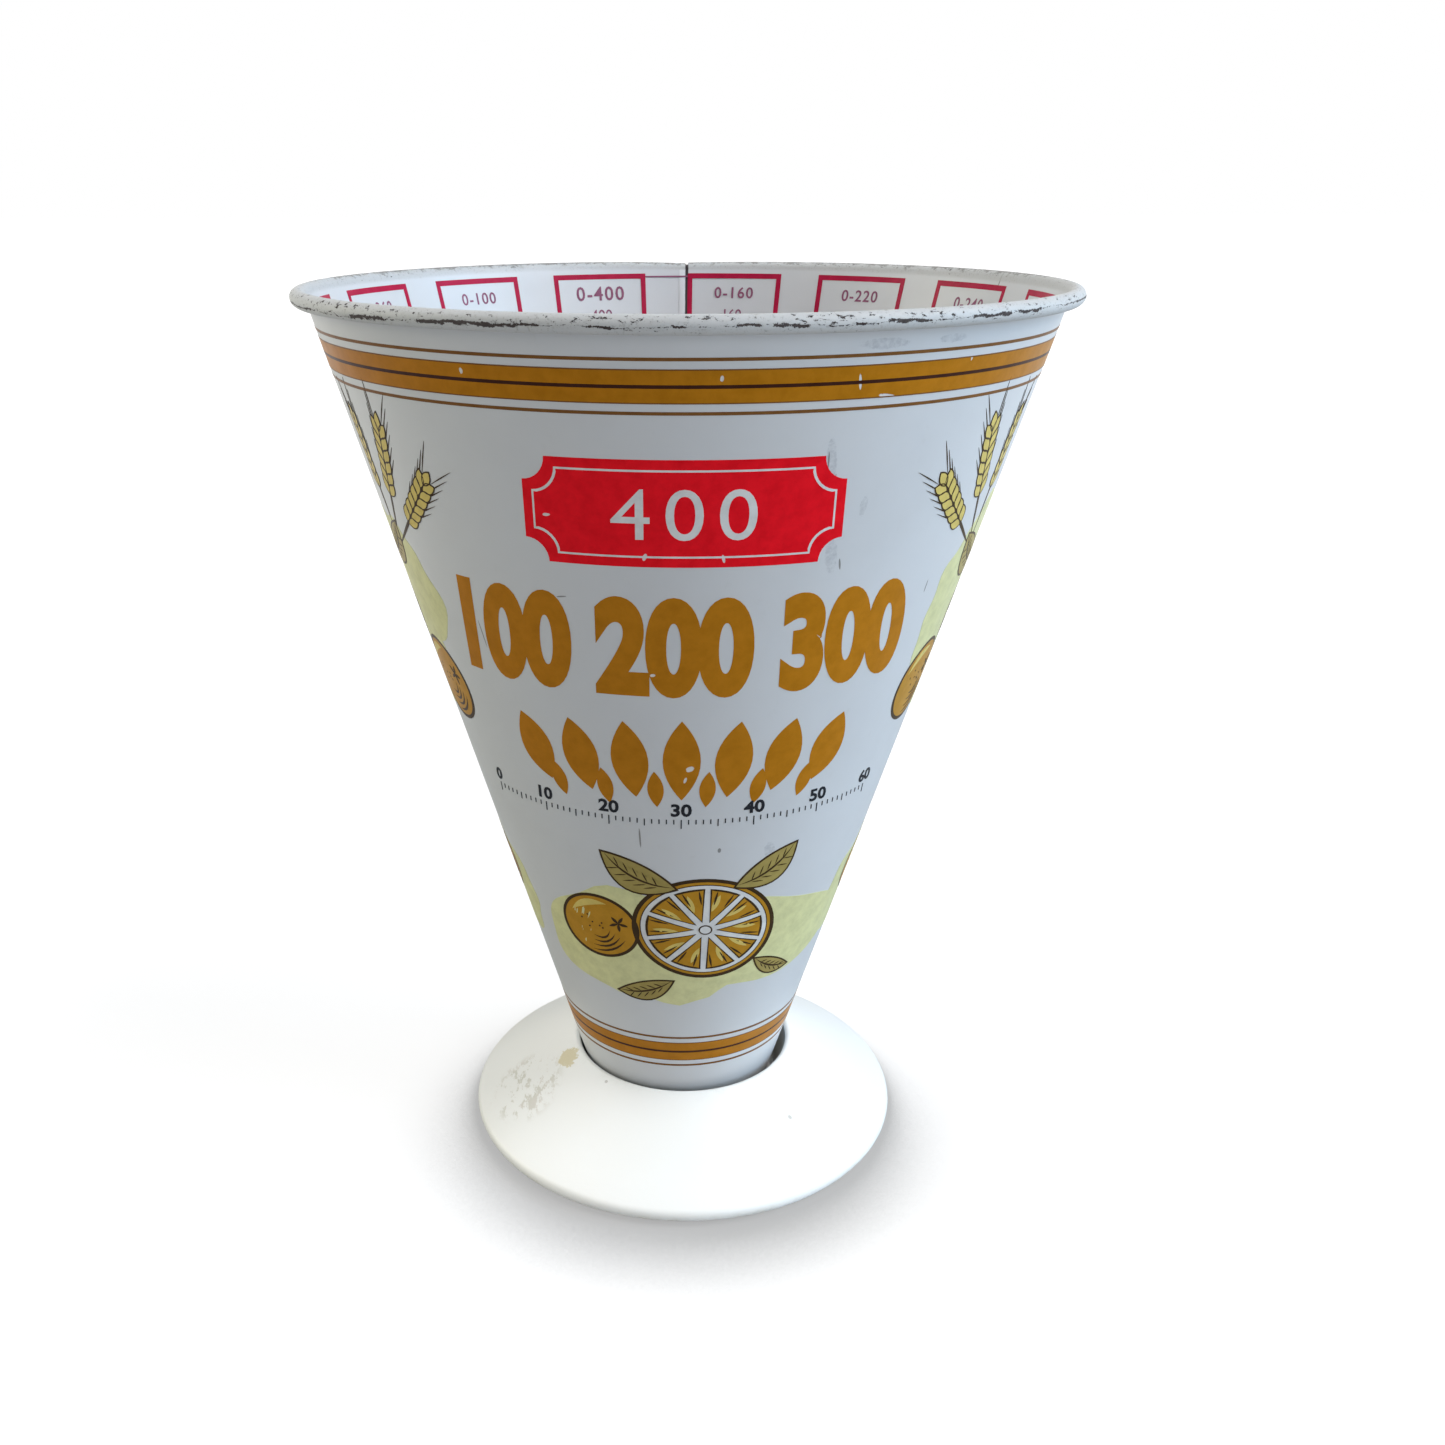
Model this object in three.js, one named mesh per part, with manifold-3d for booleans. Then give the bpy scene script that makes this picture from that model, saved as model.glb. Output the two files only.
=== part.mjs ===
// A kitchen measure: a printed tinplate cone with a rolled, wired rim, standing in a plastic foot.
// Millimetres, +Z up. The origin is on the table, under the middle of the foot. The cone's side
// seam is at the back, on +Y, as the front of the print faces -Y.

import * as THREE from 'three';
import { mergeVertices } from 'three/addons/utils/BufferGeometryUtils.js';
import Module from 'manifold-3d';

// The whole measure
const HEIGHT = 132.6;           // table to the top of the rolled rim
const RIM_RADIUS = 53.8;        // to the outside of the rolled rim
const TOE_RADIUS = 14.8;        // to the outside of the cone's lower end

// Tinplate
const SHEET = 0.3;              // thickness of the sheet that the cone and its cap are made of
const FIT_GAP = 0.3;            // air between two pieces that touch, or between two layers of a fold
const BEAD_RADIUS = 1.1;        // outside of the rolled rim's round section
const HEM_LEG = 1.4;            // how far the toe's hem turns back up inside the cap
const CAP_RISE = 0.6;           // the underside of the cap's floor, above the end of the hem's leg
const CAP_BEND = 0.8;           // middle of the sheet, where the cap's floor turns into its flange
const SEAM_WIDTH = 4;           // the folded side seam, across
const SEAM_PROUD = 0.4;         // the folded side seam, above the sheet

// Plastic foot
const FOOT_RADIUS = 34.6;       // to the outside of the lip
const FOOT_HEIGHT = 12;         // table to the top of the socket's mouth
const SKIRT_WALL = 1.9;         // the sloping skirt
const SOCKET_WALL = 1.8;        // the tube that the cone stands in
const FLOOR_WALL = 1.8;         // the socket's floor
const FLOOR_LIFT = 3.8;         // the underside of the socket's floor, above the table
const LIP_RADIUS = 1.25;        // rounding of the lip's edge
const LIP_LIFT = 0.35;          // the lip's lowest point, above the table
const MOUTH_ROUND = 0.7;        // rounding of the socket's mouth
const RING_INSET = 3;           // the ring that the foot stands on, in from the lip's outside
const RING_WIDTH = 1.6;
const RIB_COUNT = 6;
const RIB_WALL = 1.4;
const RIB_LIFT = 1.6;           // the ribs' lower edges at the ring, above the table

// Steps round a full turn, and along the small bends
const TURN_STEPS = 64;
const CURL_STEPS = 12;
const BEND_STEPS = 4;
const LIP_STEPS = 6;

const vector = (r, z) => new THREE.Vector2(r, z);

// The cone's section, worked out in the half plane of radius and height. The sheet's middle line is
// the cross tangent of two circles: the toe's hem, inside the line, and the rim's curl, outside it.
const socketFloor = FLOOR_LIFT + FLOOR_WALL;
const hemBend = SHEET + FIT_GAP;
const curlBend = BEAD_RADIUS - SHEET / 2;
const hemCentre = vector(TOE_RADIUS - SHEET / 2 - hemBend, socketFloor + FIT_GAP + hemBend + SHEET / 2);
const curlCentre = vector(RIM_RADIUS - BEAD_RADIUS, HEIGHT - BEAD_RADIUS);
const centreLine = curlCentre.clone().sub(hemCentre);
const lean = Math.atan2(centreLine.x, centreLine.y) - Math.asin((hemBend + curlBend) / centreLine.length());
const upWall = vector(Math.sin(lean), Math.cos(lean));
const outOfWall = vector(Math.cos(lean), -Math.sin(lean));
const wallFoot = hemCentre.clone().addScaledVector(outOfWall, hemBend);
const legFoot = hemCentre.clone().addScaledVector(outOfWall, -hemBend);
const legTop = legFoot.clone().addScaledVector(upWall, HEM_LEG);

// The radius of the cone's outer face at a height above the table.
function coneRadius(z) {
  return wallFoot.x + (z - wallFoot.y) * Math.tan(lean) + SHEET / 2 / Math.cos(lean);
}

// Points on an arc, angles in radians from +r towards +z.
function arc(centre, radius, from, to, steps) {
  const points = [];
  for (let i = 0; i <= steps; i += 1) {
    const angle = from + (to - from) * i / steps;
    points.push(vector(centre.x + radius * Math.cos(angle), centre.y + radius * Math.sin(angle)));
  }
  return points;
}

// The outline of a sheet whose middle follows a line: along its right side, then back on its left.
function sheetOutline(middle, thickness) {
  const side = (sign) => middle.map((point, i) => {
    const before = middle[Math.max(i - 1, 0)];
    const after = middle[Math.min(i + 1, middle.length - 1)];
    const along = after.clone().sub(before).normalize();
    return point.clone().addScaledVector(vector(along.y, -along.x), sign * thickness / 2);
  });
  return [...side(1), ...side(-1).reverse()];
}

// A closed outline turned about +Z. One that runs anticlockwise in radius and height faces outwards.
function turned(outline) {
  const onAxis = outline[0].x < FIT_GAP;
  const points = onAxis ? outline : [...outline, outline[0].clone()];
  const geometry = new THREE.LatheGeometry(points, TURN_STEPS);
  geometry.rotateX(Math.PI / 2);
  return bare(geometry);
}

// Position alone, with the doubled points of seams and poles merged, and without the triangles that
// this leaves with no area.
function bare(geometry) {
  geometry.deleteAttribute('normal');
  geometry.deleteAttribute('uv');
  const merged = mergeVertices(geometry);
  const corners = [];
  for (let i = 0; i < merged.index.count; i += 3) {
    const [a, b, c] = [0, 1, 2].map((k) => merged.index.getX(i + k));
    if (a !== b && b !== c && c !== a) corners.push(a, b, c);
  }
  merged.setIndex(corners);
  return merged;
}

const wasm = await Module();
wasm.setup();

function toSolid(geometry) {
  const vertProperties = new Float32Array(geometry.attributes.position.array);
  const triVerts = new Uint32Array(geometry.index.array);
  return new wasm.Manifold(new wasm.Mesh({ numProp: 3, vertProperties, triVerts }));
}

function fromSolid(solid) {
  const mesh = solid.getMesh();
  const geometry = new THREE.BufferGeometry();
  geometry.setAttribute('position', new THREE.BufferAttribute(new Float32Array(mesh.vertProperties), 3));
  geometry.setIndex(new THREE.BufferAttribute(new Uint32Array(mesh.triVerts), 1));
  return geometry;
}

function named(name, geometry, colour, roughness, metalness) {
  const shaded = geometry.toNonIndexed();
  shaded.computeVertexNormals();
  const material = new THREE.MeshStandardMaterial({ color: colour, roughness, metalness });
  const mesh = new THREE.Mesh(shaded, material);
  mesh.name = name;
  return mesh;
}

// The middle line of the cone's sheet: up the hem's inner leg, round the toe, along the wall and
// round the rim until the edge is one gap away from the wall.
function coneMiddle() {
  const hem = arc(hemCentre, hemBend, Math.PI - lean, 2 * Math.PI - lean, BEND_STEPS);
  const closing = Math.acos((BEAD_RADIUS - SHEET - FIT_GAP) / BEAD_RADIUS);
  const curlEnd = Math.PI - lean - (2 * Math.PI - closing);
  const curl = arc(curlCentre, curlBend, Math.PI - lean, curlEnd, CURL_STEPS);
  return [legTop, ...hem, ...curl];
}

// The side seam: a band of the same taper, one seam's width across, that stands out of the wall.
function sideSeam() {
  const foot = hemCentre.y;
  const top = curlCentre.y - BEAD_RADIUS - FIT_GAP;
  const proud = SEAM_PROUD / Math.cos(lean);
  const inside = SHEET / 2 / Math.cos(lean);
  const ring = turned([
    vector(coneRadius(foot) - inside, foot),
    vector(coneRadius(foot) + proud, foot),
    vector(coneRadius(top) + proud, top),
    vector(coneRadius(top) - inside, top),
  ]);
  const slice = new THREE.BoxGeometry(SEAM_WIDTH, RIM_RADIUS, HEIGHT);
  slice.translate(0, RIM_RADIUS / 2 + TOE_RADIUS / 2, HEIGHT / 2);
  return toSolid(ring).intersect(toSolid(bare(slice)));
}

function coneWall() {
  const sheet = toSolid(turned(sheetOutline(coneMiddle(), SHEET)));
  return fromSolid(sheet.add(sideSeam()));
}

// The wire that the rim is rolled round.
function rimWire() {
  const radius = BEAD_RADIUS - SHEET - FIT_GAP;
  const section = arc(curlCentre, radius, 0, 2 * Math.PI, 2 * BEND_STEPS);
  return turned(section.slice(0, -1));
}

// The cap that closes the cone: a flat floor with a flange turned down into the toe's hem.
function coneCap() {
  const floor = legTop.y + CAP_RISE + SHEET / 2;
  const rise = floor - CAP_BEND - hemCentre.y - CAP_BEND * Math.sin(lean);
  const bendCentre = hemCentre.clone()
    .addScaledVector(upWall, rise / Math.cos(lean))
    .addScaledVector(outOfWall, -CAP_BEND);
  const bend = arc(bendCentre, CAP_BEND, -lean, Math.PI / 2, BEND_STEPS);
  const flangeEnd = hemCentre.clone().addScaledVector(upWall, -(hemBend - SHEET / 2 - FIT_GAP));
  const middle = [flangeEnd, ...bend, vector(0, floor)];
  const outline = sheetOutline(middle, SHEET);
  const section = [...outline.slice(middle.length), ...outline.slice(0, middle.length)];
  return turned(section);
}

// Half the width of the ring that the foot stands on, and its middle.
const ringHalf = RING_WIDTH / 2;
const ringMiddle = FOOT_RADIUS - RING_INSET - ringHalf;

// Where the foot's section turns. The skirt's top is the common tangent of its two roundings.
function footPlaces() {
  const socket = (z) => coneRadius(z) + SEAM_PROUD + FIT_GAP;
  const lip = vector(FOOT_RADIUS - LIP_RADIUS, LIP_LIFT + LIP_RADIUS);
  const mouth = vector(socket(FOOT_HEIGHT) + MOUTH_ROUND, FOOT_HEIGHT - MOUTH_ROUND);
  const between = mouth.clone().sub(lip);
  const slope = Math.atan2(between.y, -between.x) + Math.asin((MOUTH_ROUND - LIP_RADIUS) / between.length());
  const topLine = lip.clone().addScaledVector(vector(Math.sin(slope), Math.cos(slope)), LIP_RADIUS);
  const skirtTop = (r) => topLine.y + (topLine.x - r) * Math.tan(slope);
  const skirtUnder = (r) => skirtTop(r) - SKIRT_WALL / Math.cos(slope);
  return { socket, lip, mouth, slope, skirtTop, skirtUnder };
}

// The foot's section: floor, socket tube, skirt, standing ring and lip, as one moulding.
function footOutline({ socket, lip, mouth, slope, skirtUnder }) {
  const tube = (z) => socket(z) + SOCKET_WALL;
  const tubeTop = tube(FOOT_HEIGHT);
  const ringInside = ringMiddle - ringHalf;
  const ringOutside = ringMiddle + ringHalf;
  return [
    vector(0, FLOOR_LIFT),
    vector(tube(FLOOR_LIFT), FLOOR_LIFT),
    vector(tubeTop, skirtUnder(tubeTop)),
    vector(ringInside, skirtUnder(ringInside)),
    vector(ringInside, 0),
    vector(ringOutside, 0),
    vector(ringOutside, LIP_LIFT),
    ...arc(lip, LIP_RADIUS, -Math.PI / 2, Math.PI / 2 - slope, LIP_STEPS),
    ...arc(mouth, MOUTH_ROUND, Math.PI / 2 - slope, Math.PI, BEND_STEPS),
    vector(socket(socketFloor), socketFloor),
    vector(0, socketFloor),
  ];
}

// One stiffening rib under the skirt. Its lower edge slopes from the foot of the socket tube down to
// the standing ring, and its ends and its top edge lie inside the walls that it joins.
function rib({ socket, skirtUnder }, turn) {
  const inTube = (z) => socket(z) + SOCKET_WALL / 2;
  const inSkirt = (r) => skirtUnder(r) + SKIRT_WALL / 2;
  const tubeFoot = FLOOR_LIFT + FIT_GAP;
  const shape = new THREE.Shape([
    vector(inTube(tubeFoot), tubeFoot),
    vector(ringMiddle, RIB_LIFT),
    vector(ringMiddle, inSkirt(ringMiddle)),
    vector(inTube(FOOT_HEIGHT), inSkirt(inTube(FOOT_HEIGHT))),
  ]);
  const geometry = new THREE.ExtrudeGeometry(shape, { depth: RIB_WALL, bevelEnabled: false });
  geometry.translate(0, 0, -RIB_WALL / 2);
  geometry.rotateX(Math.PI / 2);
  geometry.rotateZ(turn);
  return toSolid(bare(geometry));
}

function foot() {
  const places = footPlaces();
  let moulding = toSolid(turned(footOutline(places)));
  for (let i = 0; i < RIB_COUNT; i += 1) {
    moulding = moulding.add(rib(places, (i + 0.5) * 2 * Math.PI / RIB_COUNT));
  }
  return fromSolid(moulding);
}

const cone = new THREE.Group();
cone.add(named('cone_wall', coneWall(), 0xdfe0e2, 0.35, 0.2));
cone.add(named('rim_wire', rimWire(), 0x8c8c8c, 0.4, 0.9));
cone.add(named('cone_cap', coneCap(), 0xdfe0e2, 0.35, 0.2));

const measure = new THREE.Group();
measure.add(cone);
measure.add(named('foot', foot(), 0xf4f2ec, 0.45, 0));

export default measure;
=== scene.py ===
# %% [markdown]
# # A kitchen measure, dressed in Blender
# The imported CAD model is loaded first. It is the fixed frame: its bodies move by its joint, and its
# sizes are the real ones, in metres. Everything made below is fitted to it.

# %% Load the frame
import math

import bmesh
import bpy
from mathutils import Matrix, Vector, noise


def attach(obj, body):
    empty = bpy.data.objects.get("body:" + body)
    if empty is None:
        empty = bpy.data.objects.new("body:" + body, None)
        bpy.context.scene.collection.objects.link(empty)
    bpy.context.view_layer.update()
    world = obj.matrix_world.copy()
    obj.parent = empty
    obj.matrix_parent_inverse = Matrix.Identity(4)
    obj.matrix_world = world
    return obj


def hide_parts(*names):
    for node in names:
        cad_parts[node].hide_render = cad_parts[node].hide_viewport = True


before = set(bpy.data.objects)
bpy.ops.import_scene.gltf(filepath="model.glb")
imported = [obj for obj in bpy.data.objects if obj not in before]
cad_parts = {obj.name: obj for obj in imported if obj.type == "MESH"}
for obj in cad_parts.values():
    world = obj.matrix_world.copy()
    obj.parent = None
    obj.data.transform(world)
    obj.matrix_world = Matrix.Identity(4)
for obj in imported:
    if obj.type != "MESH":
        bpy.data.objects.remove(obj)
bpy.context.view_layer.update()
MM = 0.001

# %% [markdown]
# ## Camera
# A camera is placed by a matrix whose columns are its right, its up and the way opposite to its
# view. Working those out from a yaw, a pitch and a small roll keeps the numbers readable. A 36 mm
# lens on a 36 mm sensor gives the same view angle as the photograph, which is square. The
# photograph was cropped a little off centre, and a small lens shift does the same here.

# %% Make the camera
CAMERA_PLACE = Vector((0.0, -209.34, 145.85)) * MM
CAMERA_YAW = -0.0220
CAMERA_PITCH = 0.3598
CAMERA_ROLL = -0.0037
CAMERA_SHIFT = 0.0473

scene = bpy.context.scene
sight = Vector((
    math.sin(CAMERA_YAW) * math.cos(CAMERA_PITCH),
    math.cos(CAMERA_YAW) * math.cos(CAMERA_PITCH),
    -math.sin(CAMERA_PITCH),
))
level = Vector((math.cos(CAMERA_YAW), -math.sin(CAMERA_YAW), 0.0))
right = Matrix.Rotation(-CAMERA_ROLL, 3, sight) @ level
up = right.cross(sight)
camera_data = bpy.data.cameras.new("camera")
camera_data.lens = 36.0
camera_data.sensor_width = 36.0
camera_data.sensor_fit = "HORIZONTAL"
camera_data.shift_x = CAMERA_SHIFT
camera_data.clip_start = 0.01
camera = bpy.data.objects.new("camera", camera_data)
camera.matrix_world = Matrix((right, up, -sight)).transposed().to_4x4()
camera.location = CAMERA_PLACE
scene.collection.objects.link(camera)
scene.camera = camera
scene.view_settings.view_transform = "Standard"
print("camera looks along", [round(c, 3) for c in sight])

# %% [markdown]
# ## Writing materials as sums
# A node tree for a worn print soon has dozens of Math nodes. One small class wraps a socket, so
# that an expression such as `1 - mask` adds its node by itself. A second class holds a node tree and
# makes any other node from its type, its settings and its sockets' values. A third is a material,
# with the few steps that every finish here takes: the place, a noise, a mix of colours, a relief.

# %% Shader helpers
class Value:
    """A number that changes over the surface: a socket, with the node tree that it is in."""

    def __init__(self, nodes, socket):
        self.nodes = nodes
        self.socket = socket

    def sum(self, operation, *others):
        inputs = dict(enumerate((self, *others)))
        return self.nodes.node("ShaderNodeMath", {"operation": operation}, inputs)

    def __add__(self, other):
        return self.sum("ADD", other)

    def __sub__(self, other):
        return self.sum("SUBTRACT", other)

    def __rsub__(self, other):
        return self.sum("MULTIPLY_ADD", -1.0, other)

    def __mul__(self, other):
        return self.sum("MULTIPLY", other)

    def __truediv__(self, other):
        return self.sum("DIVIDE", other)

    def __pow__(self, other):
        return self.sum("POWER", other)

    def __abs__(self):
        return self.sum("ABSOLUTE")

    __radd__ = __add__
    __rmul__ = __mul__

    def root(self):
        return self.sum("SQRT")

    def least(self, other):
        return self.sum("MINIMUM", other)

    def most(self, other):
        return self.sum("MAXIMUM", other)

    def step(self, low, high):
        """0 below low, 1 above high, smooth between. With low above high it falls instead."""
        starts, ends = (0.0, 1.0) if low < high else (1.0, 0.0)
        inputs = {0: self, 1: min(low, high), 2: max(low, high), 3: starts, 4: ends}
        return self.nodes.node("ShaderNodeMapRange", {"interpolation_type": "SMOOTHSTEP"}, inputs)


class Nodes:
    """A node tree, written as expressions on the sockets of its nodes."""

    def __init__(self, tree):
        self.tree = tree

    def node(self, kind, settings=None, inputs=None, output=None):
        """Adds a node. Its settings come first, then the value or the link of each socket."""
        made = self.tree.nodes.new(kind)
        for key, value in (settings or {}).items():
            setattr(made, key, value)
        for key, value in (inputs or {}).items():
            if isinstance(key, int):
                socket = made.inputs[key]
            else:
                socket = [s for s in made.inputs if s.enabled and s.name == key][0]
            if isinstance(value, Value):
                self.tree.links.new(value.socket, socket)
            else:
                socket.default_value = value
        found = [s for s in made.outputs if s.enabled and output in (None, s.name)]
        return Value(self, found[0])


class Finish(Nodes):
    """A material with one shader, whose sockets take a value each or an expression."""

    def __init__(self, name, colour, roughness, **constants):
        self.material = bpy.data.materials.new(name)
        self.material.use_nodes = True
        super().__init__(self.material.node_tree)
        self.shader = self.tree.nodes["Principled BSDF"]
        self.shader.inputs["Base Color"].default_value = (*colour, 1.0)
        self.shader.inputs["Roughness"].default_value = roughness
        for socket, value in constants.items():
            self.shader.inputs[socket.replace("_", " ")].default_value = value
        self.material.diffuse_color = (*colour, 1.0)

    def place(self):
        """The point's place on the object in millimetres: x, y and z."""
        inputs = {"Vector": self.node("ShaderNodeTexCoord", output="Object"), "Scale": 1 / MM}
        scaled = self.node("ShaderNodeVectorMath", {"operation": "SCALE"}, inputs)
        parts = [self.node("ShaderNodeSeparateXYZ", None, {0: scaled}, axis) for axis in "XYZ"]
        return scaled, parts

    def noise(self, where, scale, detail=2.0, roughness=0.5, stretch=(1, 1, 1)):
        """Smooth noise of about -0.5 to 0.5. Scale is in lumps for each millimetre."""
        if stretch != (1, 1, 1):
            settings = {"operation": "MULTIPLY"}
            where = self.node("ShaderNodeVectorMath", settings, {0: where, 1: stretch})
        inputs = {"Vector": where, "Scale": scale, "Detail": detail, "Roughness": roughness}
        return self.node("ShaderNodeTexNoise", None, inputs) - 0.5

    def mix(self, factor, first, second):
        """A colour between two colours."""
        ends = [(*c, 1.0) if isinstance(c, tuple) else c for c in (first, second)]
        inputs = {"Factor": factor, "A": ends[0], "B": ends[1]}
        return self.node("ShaderNodeMix", {"data_type": "RGBA"}, inputs)

    def feed(self, socket, value):
        self.tree.links.new(value.socket, self.shader.inputs[socket])

    def bump(self, height, distance):
        """Relief from a height of 0 to 1, where 1 stands a distance in millimetres proud."""
        inputs = {"Height": height, "Distance": distance * MM}
        self.feed("Normal", self.node("ShaderNodeBump", None, inputs))


# %% [markdown]
# ## Floor and light
# The background of the photograph is plain white and the foot throws a soft shadow. A white floor
# that only the lamps lit would never be even. So the camera mostly sees the floor's own plain white,
# with a little of the matt paper that takes the lamps' shadows. An ambient occlusion node darkens
# both close to the foot, wherever something stands near the floor. Its normal leans to the rear, so
# that the shadow lies mostly in front, as in the photograph. In reflections the floor is white only
# further off. The room is the world: white where it is seen or mirrored, and dim as a light.

# %% Floor and world
floor_mesh = bpy.data.meshes.new("floor")
bm = bmesh.new()
bmesh.ops.create_grid(bm, x_segments=1, y_segments=1, size=6.0)
bm.to_mesh(floor_mesh)
bm.free()
floor = bpy.data.objects.new("floor", floor_mesh)
scene.collection.objects.link(floor)

# the paper's colour for the light that it throws back, and as the camera sees it
PAPER = (0.45, 0.45, 0.45)
SEEN_PAPER = (0.92, 0.92, 0.92)
# the share of the floor's own white in what the camera sees, and how brightly that glows
OWN_WHITE = 0.72
OWN_GLOW = 1.17
# how far the foot's shadow reaches, in metres, and how much light it takes at its darkest
SHADOW_REACH = 0.036
SHADOW_DEPTH = 0.525
WHITE = (1.0, 1.0, 1.0, 1.0)
paper = Finish("floor_paper", PAPER, 0.9, Specular_IOR_Level=0.1)
seen = paper.node("ShaderNodeLightPath", output="Is Camera Ray")
mirrored = paper.node("ShaderNodeLightPath", output="Is Glossy Ray")
through = paper.node("ShaderNodeLightPath", output="Is Transmission Ray")
leaning = paper.node("ShaderNodeCombineXYZ", None, {"Y": 0.6, "Z": 0.8})
sky_inputs = {"Distance": SHADOW_REACH, "Normal": leaning}
open_sky = paper.node("ShaderNodeAmbientOcclusion", {"samples": 12}, sky_inputs, "AO")
shade = (1 - SHADOW_DEPTH) + open_sky.step(0.68, 0.96) * SHADOW_DEPTH
seen_paper = paper.mix(shade, (0.0, 0.0, 0.0), SEEN_PAPER)
paper.feed("Base Color", paper.mix(seen, PAPER, seen_paper))
glow_inputs = {"Color": WHITE, "Strength": 1.0 + seen * (shade * OWN_GLOW - 1.0)}
glow = paper.node("ShaderNodeEmission", None, glow_inputs)
_, (floor_x, floor_y, _) = paper.place()
away = (floor_x * floor_x + floor_y * floor_y).root().step(90.0, 420.0)
share = seen * (OWN_WHITE + away * (1 - OWN_WHITE)) + (1 - seen) * mirrored.most(through) * away
lit = Value(paper, paper.shader.outputs[0])
blend = paper.node("ShaderNodeMixShader", None, {0: share, 1: lit, 2: glow})
paper.tree.links.new(blend.socket, paper.tree.nodes["Material Output"].inputs[0])
floor_mesh.materials.append(paper.material)

ROOM_LIGHT = 0.02
world = bpy.data.worlds.new("room")
scene.world = world
world.use_nodes = True
room = Nodes(world.node_tree)
backdrop = room.tree.nodes["Background"]
backdrop.inputs["Color"].default_value = WHITE
in_view = room.node("ShaderNodeLightPath", output="Is Camera Ray")
in_gloss = room.node("ShaderNodeLightPath", output="Is Glossy Ray")
room_inputs = {"Value": in_view.most(in_gloss), "To Min": ROOM_LIGHT, "To Max": 1.0}
strength = room.node("ShaderNodeMapRange", None, room_inputs)
room.tree.links.new(strength.socket, backdrop.inputs["Strength"])


# %% Lamps
AIM = Vector((0.0, 0.0, 0.07))
LAMP_SIZE = 0.8


def softbox(name, place, power, colour):
    """A square soft lamp that faces the middle of the object."""
    lamp = bpy.data.lights.new(name, "AREA")
    lamp.shape = "SQUARE"
    lamp.size = LAMP_SIZE
    lamp.energy = power
    lamp.color = colour
    holder = bpy.data.objects.new(name, lamp)
    scene.collection.objects.link(holder)
    holder.location = place
    holder.rotation_euler = (AIM - holder.location).to_track_quat("-Z", "Y").to_euler()


softbox("window_top", (0.776, -0.208, 1.028), 12.4, (1.0, 0.96, 0.93))
softbox("window_side", (1.184, -0.104, 0.456), 9.0, (0.34, 0.675, 1.0))
softbox("front", (0.594, -1.03, 0.456), 4.9, (0.91, 0.95, 1.0))
softbox("left_wall", (-1.184, 0.104, 0.456), 7.3, (1.0, 0.97, 0.77))
softbox("ceiling", (-0.755, 0.275, 1.028), 5.3, (0.85, 0.90, 1.0))

# %% [markdown]
# ## The cone's section
# The cone is one sheet of tinplate. Seen in section it starts inside the toe, where its edge is
# hemmed round the cap, runs up the wall as a straight line and ends in the rim, which is rolled
# outwards round a wire. The two roundings fix everything else: the wall is the straight line that
# touches both circles. These are the same named values as in the CAD source, in millimetres.
#
# One value is the visual model's own. The cone stands loose in its socket and leans a little to the
# left. Its pieces are made upright, and a shear then moves each point by LOOSE millimetres for each
# millimetre that it is below the rim.

# %% Measures of the sheet
HEIGHT = 132.6
RIM_RADIUS = 53.8
TOE_RADIUS = 14.8
SHEET = 0.3
FIT_GAP = 0.3
BEAD_RADIUS = 1.1
HEM_LEG = 1.4
CAP_RISE = 0.6
CAP_BEND = 0.8
SEAM_HALF = 2.0
SEAM_PROUD = 0.4
FOLD = (-1.05, -0.05)
GROOVE = (0.0, 0.38)
SOCKET_FLOOR = 5.6
LOOSE = 0.0045


def spot(r, z):
    """A point of a section: radius along X, height along Z."""
    return Vector((r, 0.0, z))


hem_bend = SHEET + FIT_GAP
curl_bend = BEAD_RADIUS - SHEET / 2
hem_centre = spot(TOE_RADIUS - SHEET / 2 - hem_bend, SOCKET_FLOOR + FIT_GAP + hem_bend + SHEET / 2)
curl_centre = spot(RIM_RADIUS - BEAD_RADIUS, HEIGHT - BEAD_RADIUS)
across = curl_centre - hem_centre
LEAN = math.atan2(across.x, across.z) - math.asin((hem_bend + curl_bend) / across.length)
up_wall = spot(math.sin(LEAN), math.cos(LEAN))
out_of_wall = spot(math.cos(LEAN), -math.sin(LEAN))
wall_foot = hem_centre + hem_bend * out_of_wall
TAPER = math.tan(LEAN)
HALF_SHEET = SHEET / 2 / math.cos(LEAN)


def cone_radius(z, side=1):
    """Radius of the cone at a height: its outer face with side 1, its inner face with side -1."""
    return wall_foot.x + (z - wall_foot.z) * TAPER + side * HALF_SHEET


print("lean", round(math.degrees(LEAN), 2), "radius at 100 mm", round(cone_radius(100), 2))


# %% [markdown]
# A real sheet isn't a perfect cone. It is a little out of round and has shallow waves, which is what
# breaks up the reflections. The waves only go inwards, so the piece never outgrows the CAD. They are
# one function of the place round the cone, because the print has to follow them as well.

# %% Waves in the sheet
WAVE_DEPTH = 0.09


def smooth(t):
    """0 up to 0, 1 from 1 on, and smooth between."""
    t = min(max(t, 0.0), 1.0)
    return t * t * (3 - 2 * t)


def wave(azimuth, z):
    """How far the sheet stands in from a true cone, 0 to about 0.2 mm. 0 azimuth is the front."""
    swing = math.sin(2 * azimuth + 0.6)
    swing += 0.6 * math.sin(3 * azimuth + 2.1 + z / 40)
    swing += 0.4 * math.sin(5 * azimuth + 0.9 - z / 25)
    return WAVE_DEPTH * smooth((z - 20) / 90) * (1 + swing / 2)


# %% [markdown]
# ## From a line to a closed sheet
# A section is drawn with a pen: a single vertex that is extruded in straight runs and spun round a
# centre for each bend. Spinning the whole line round the Z axis makes the surface, and Solidify
# gives it the thickness of the sheet. Drawing the inner face and thickening outwards keeps the
# rolled rim's outside at exactly its radius. Solidify goes by the way that the faces look, so one
# face is tested first and all are turned over where it looks the wrong way.

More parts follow.
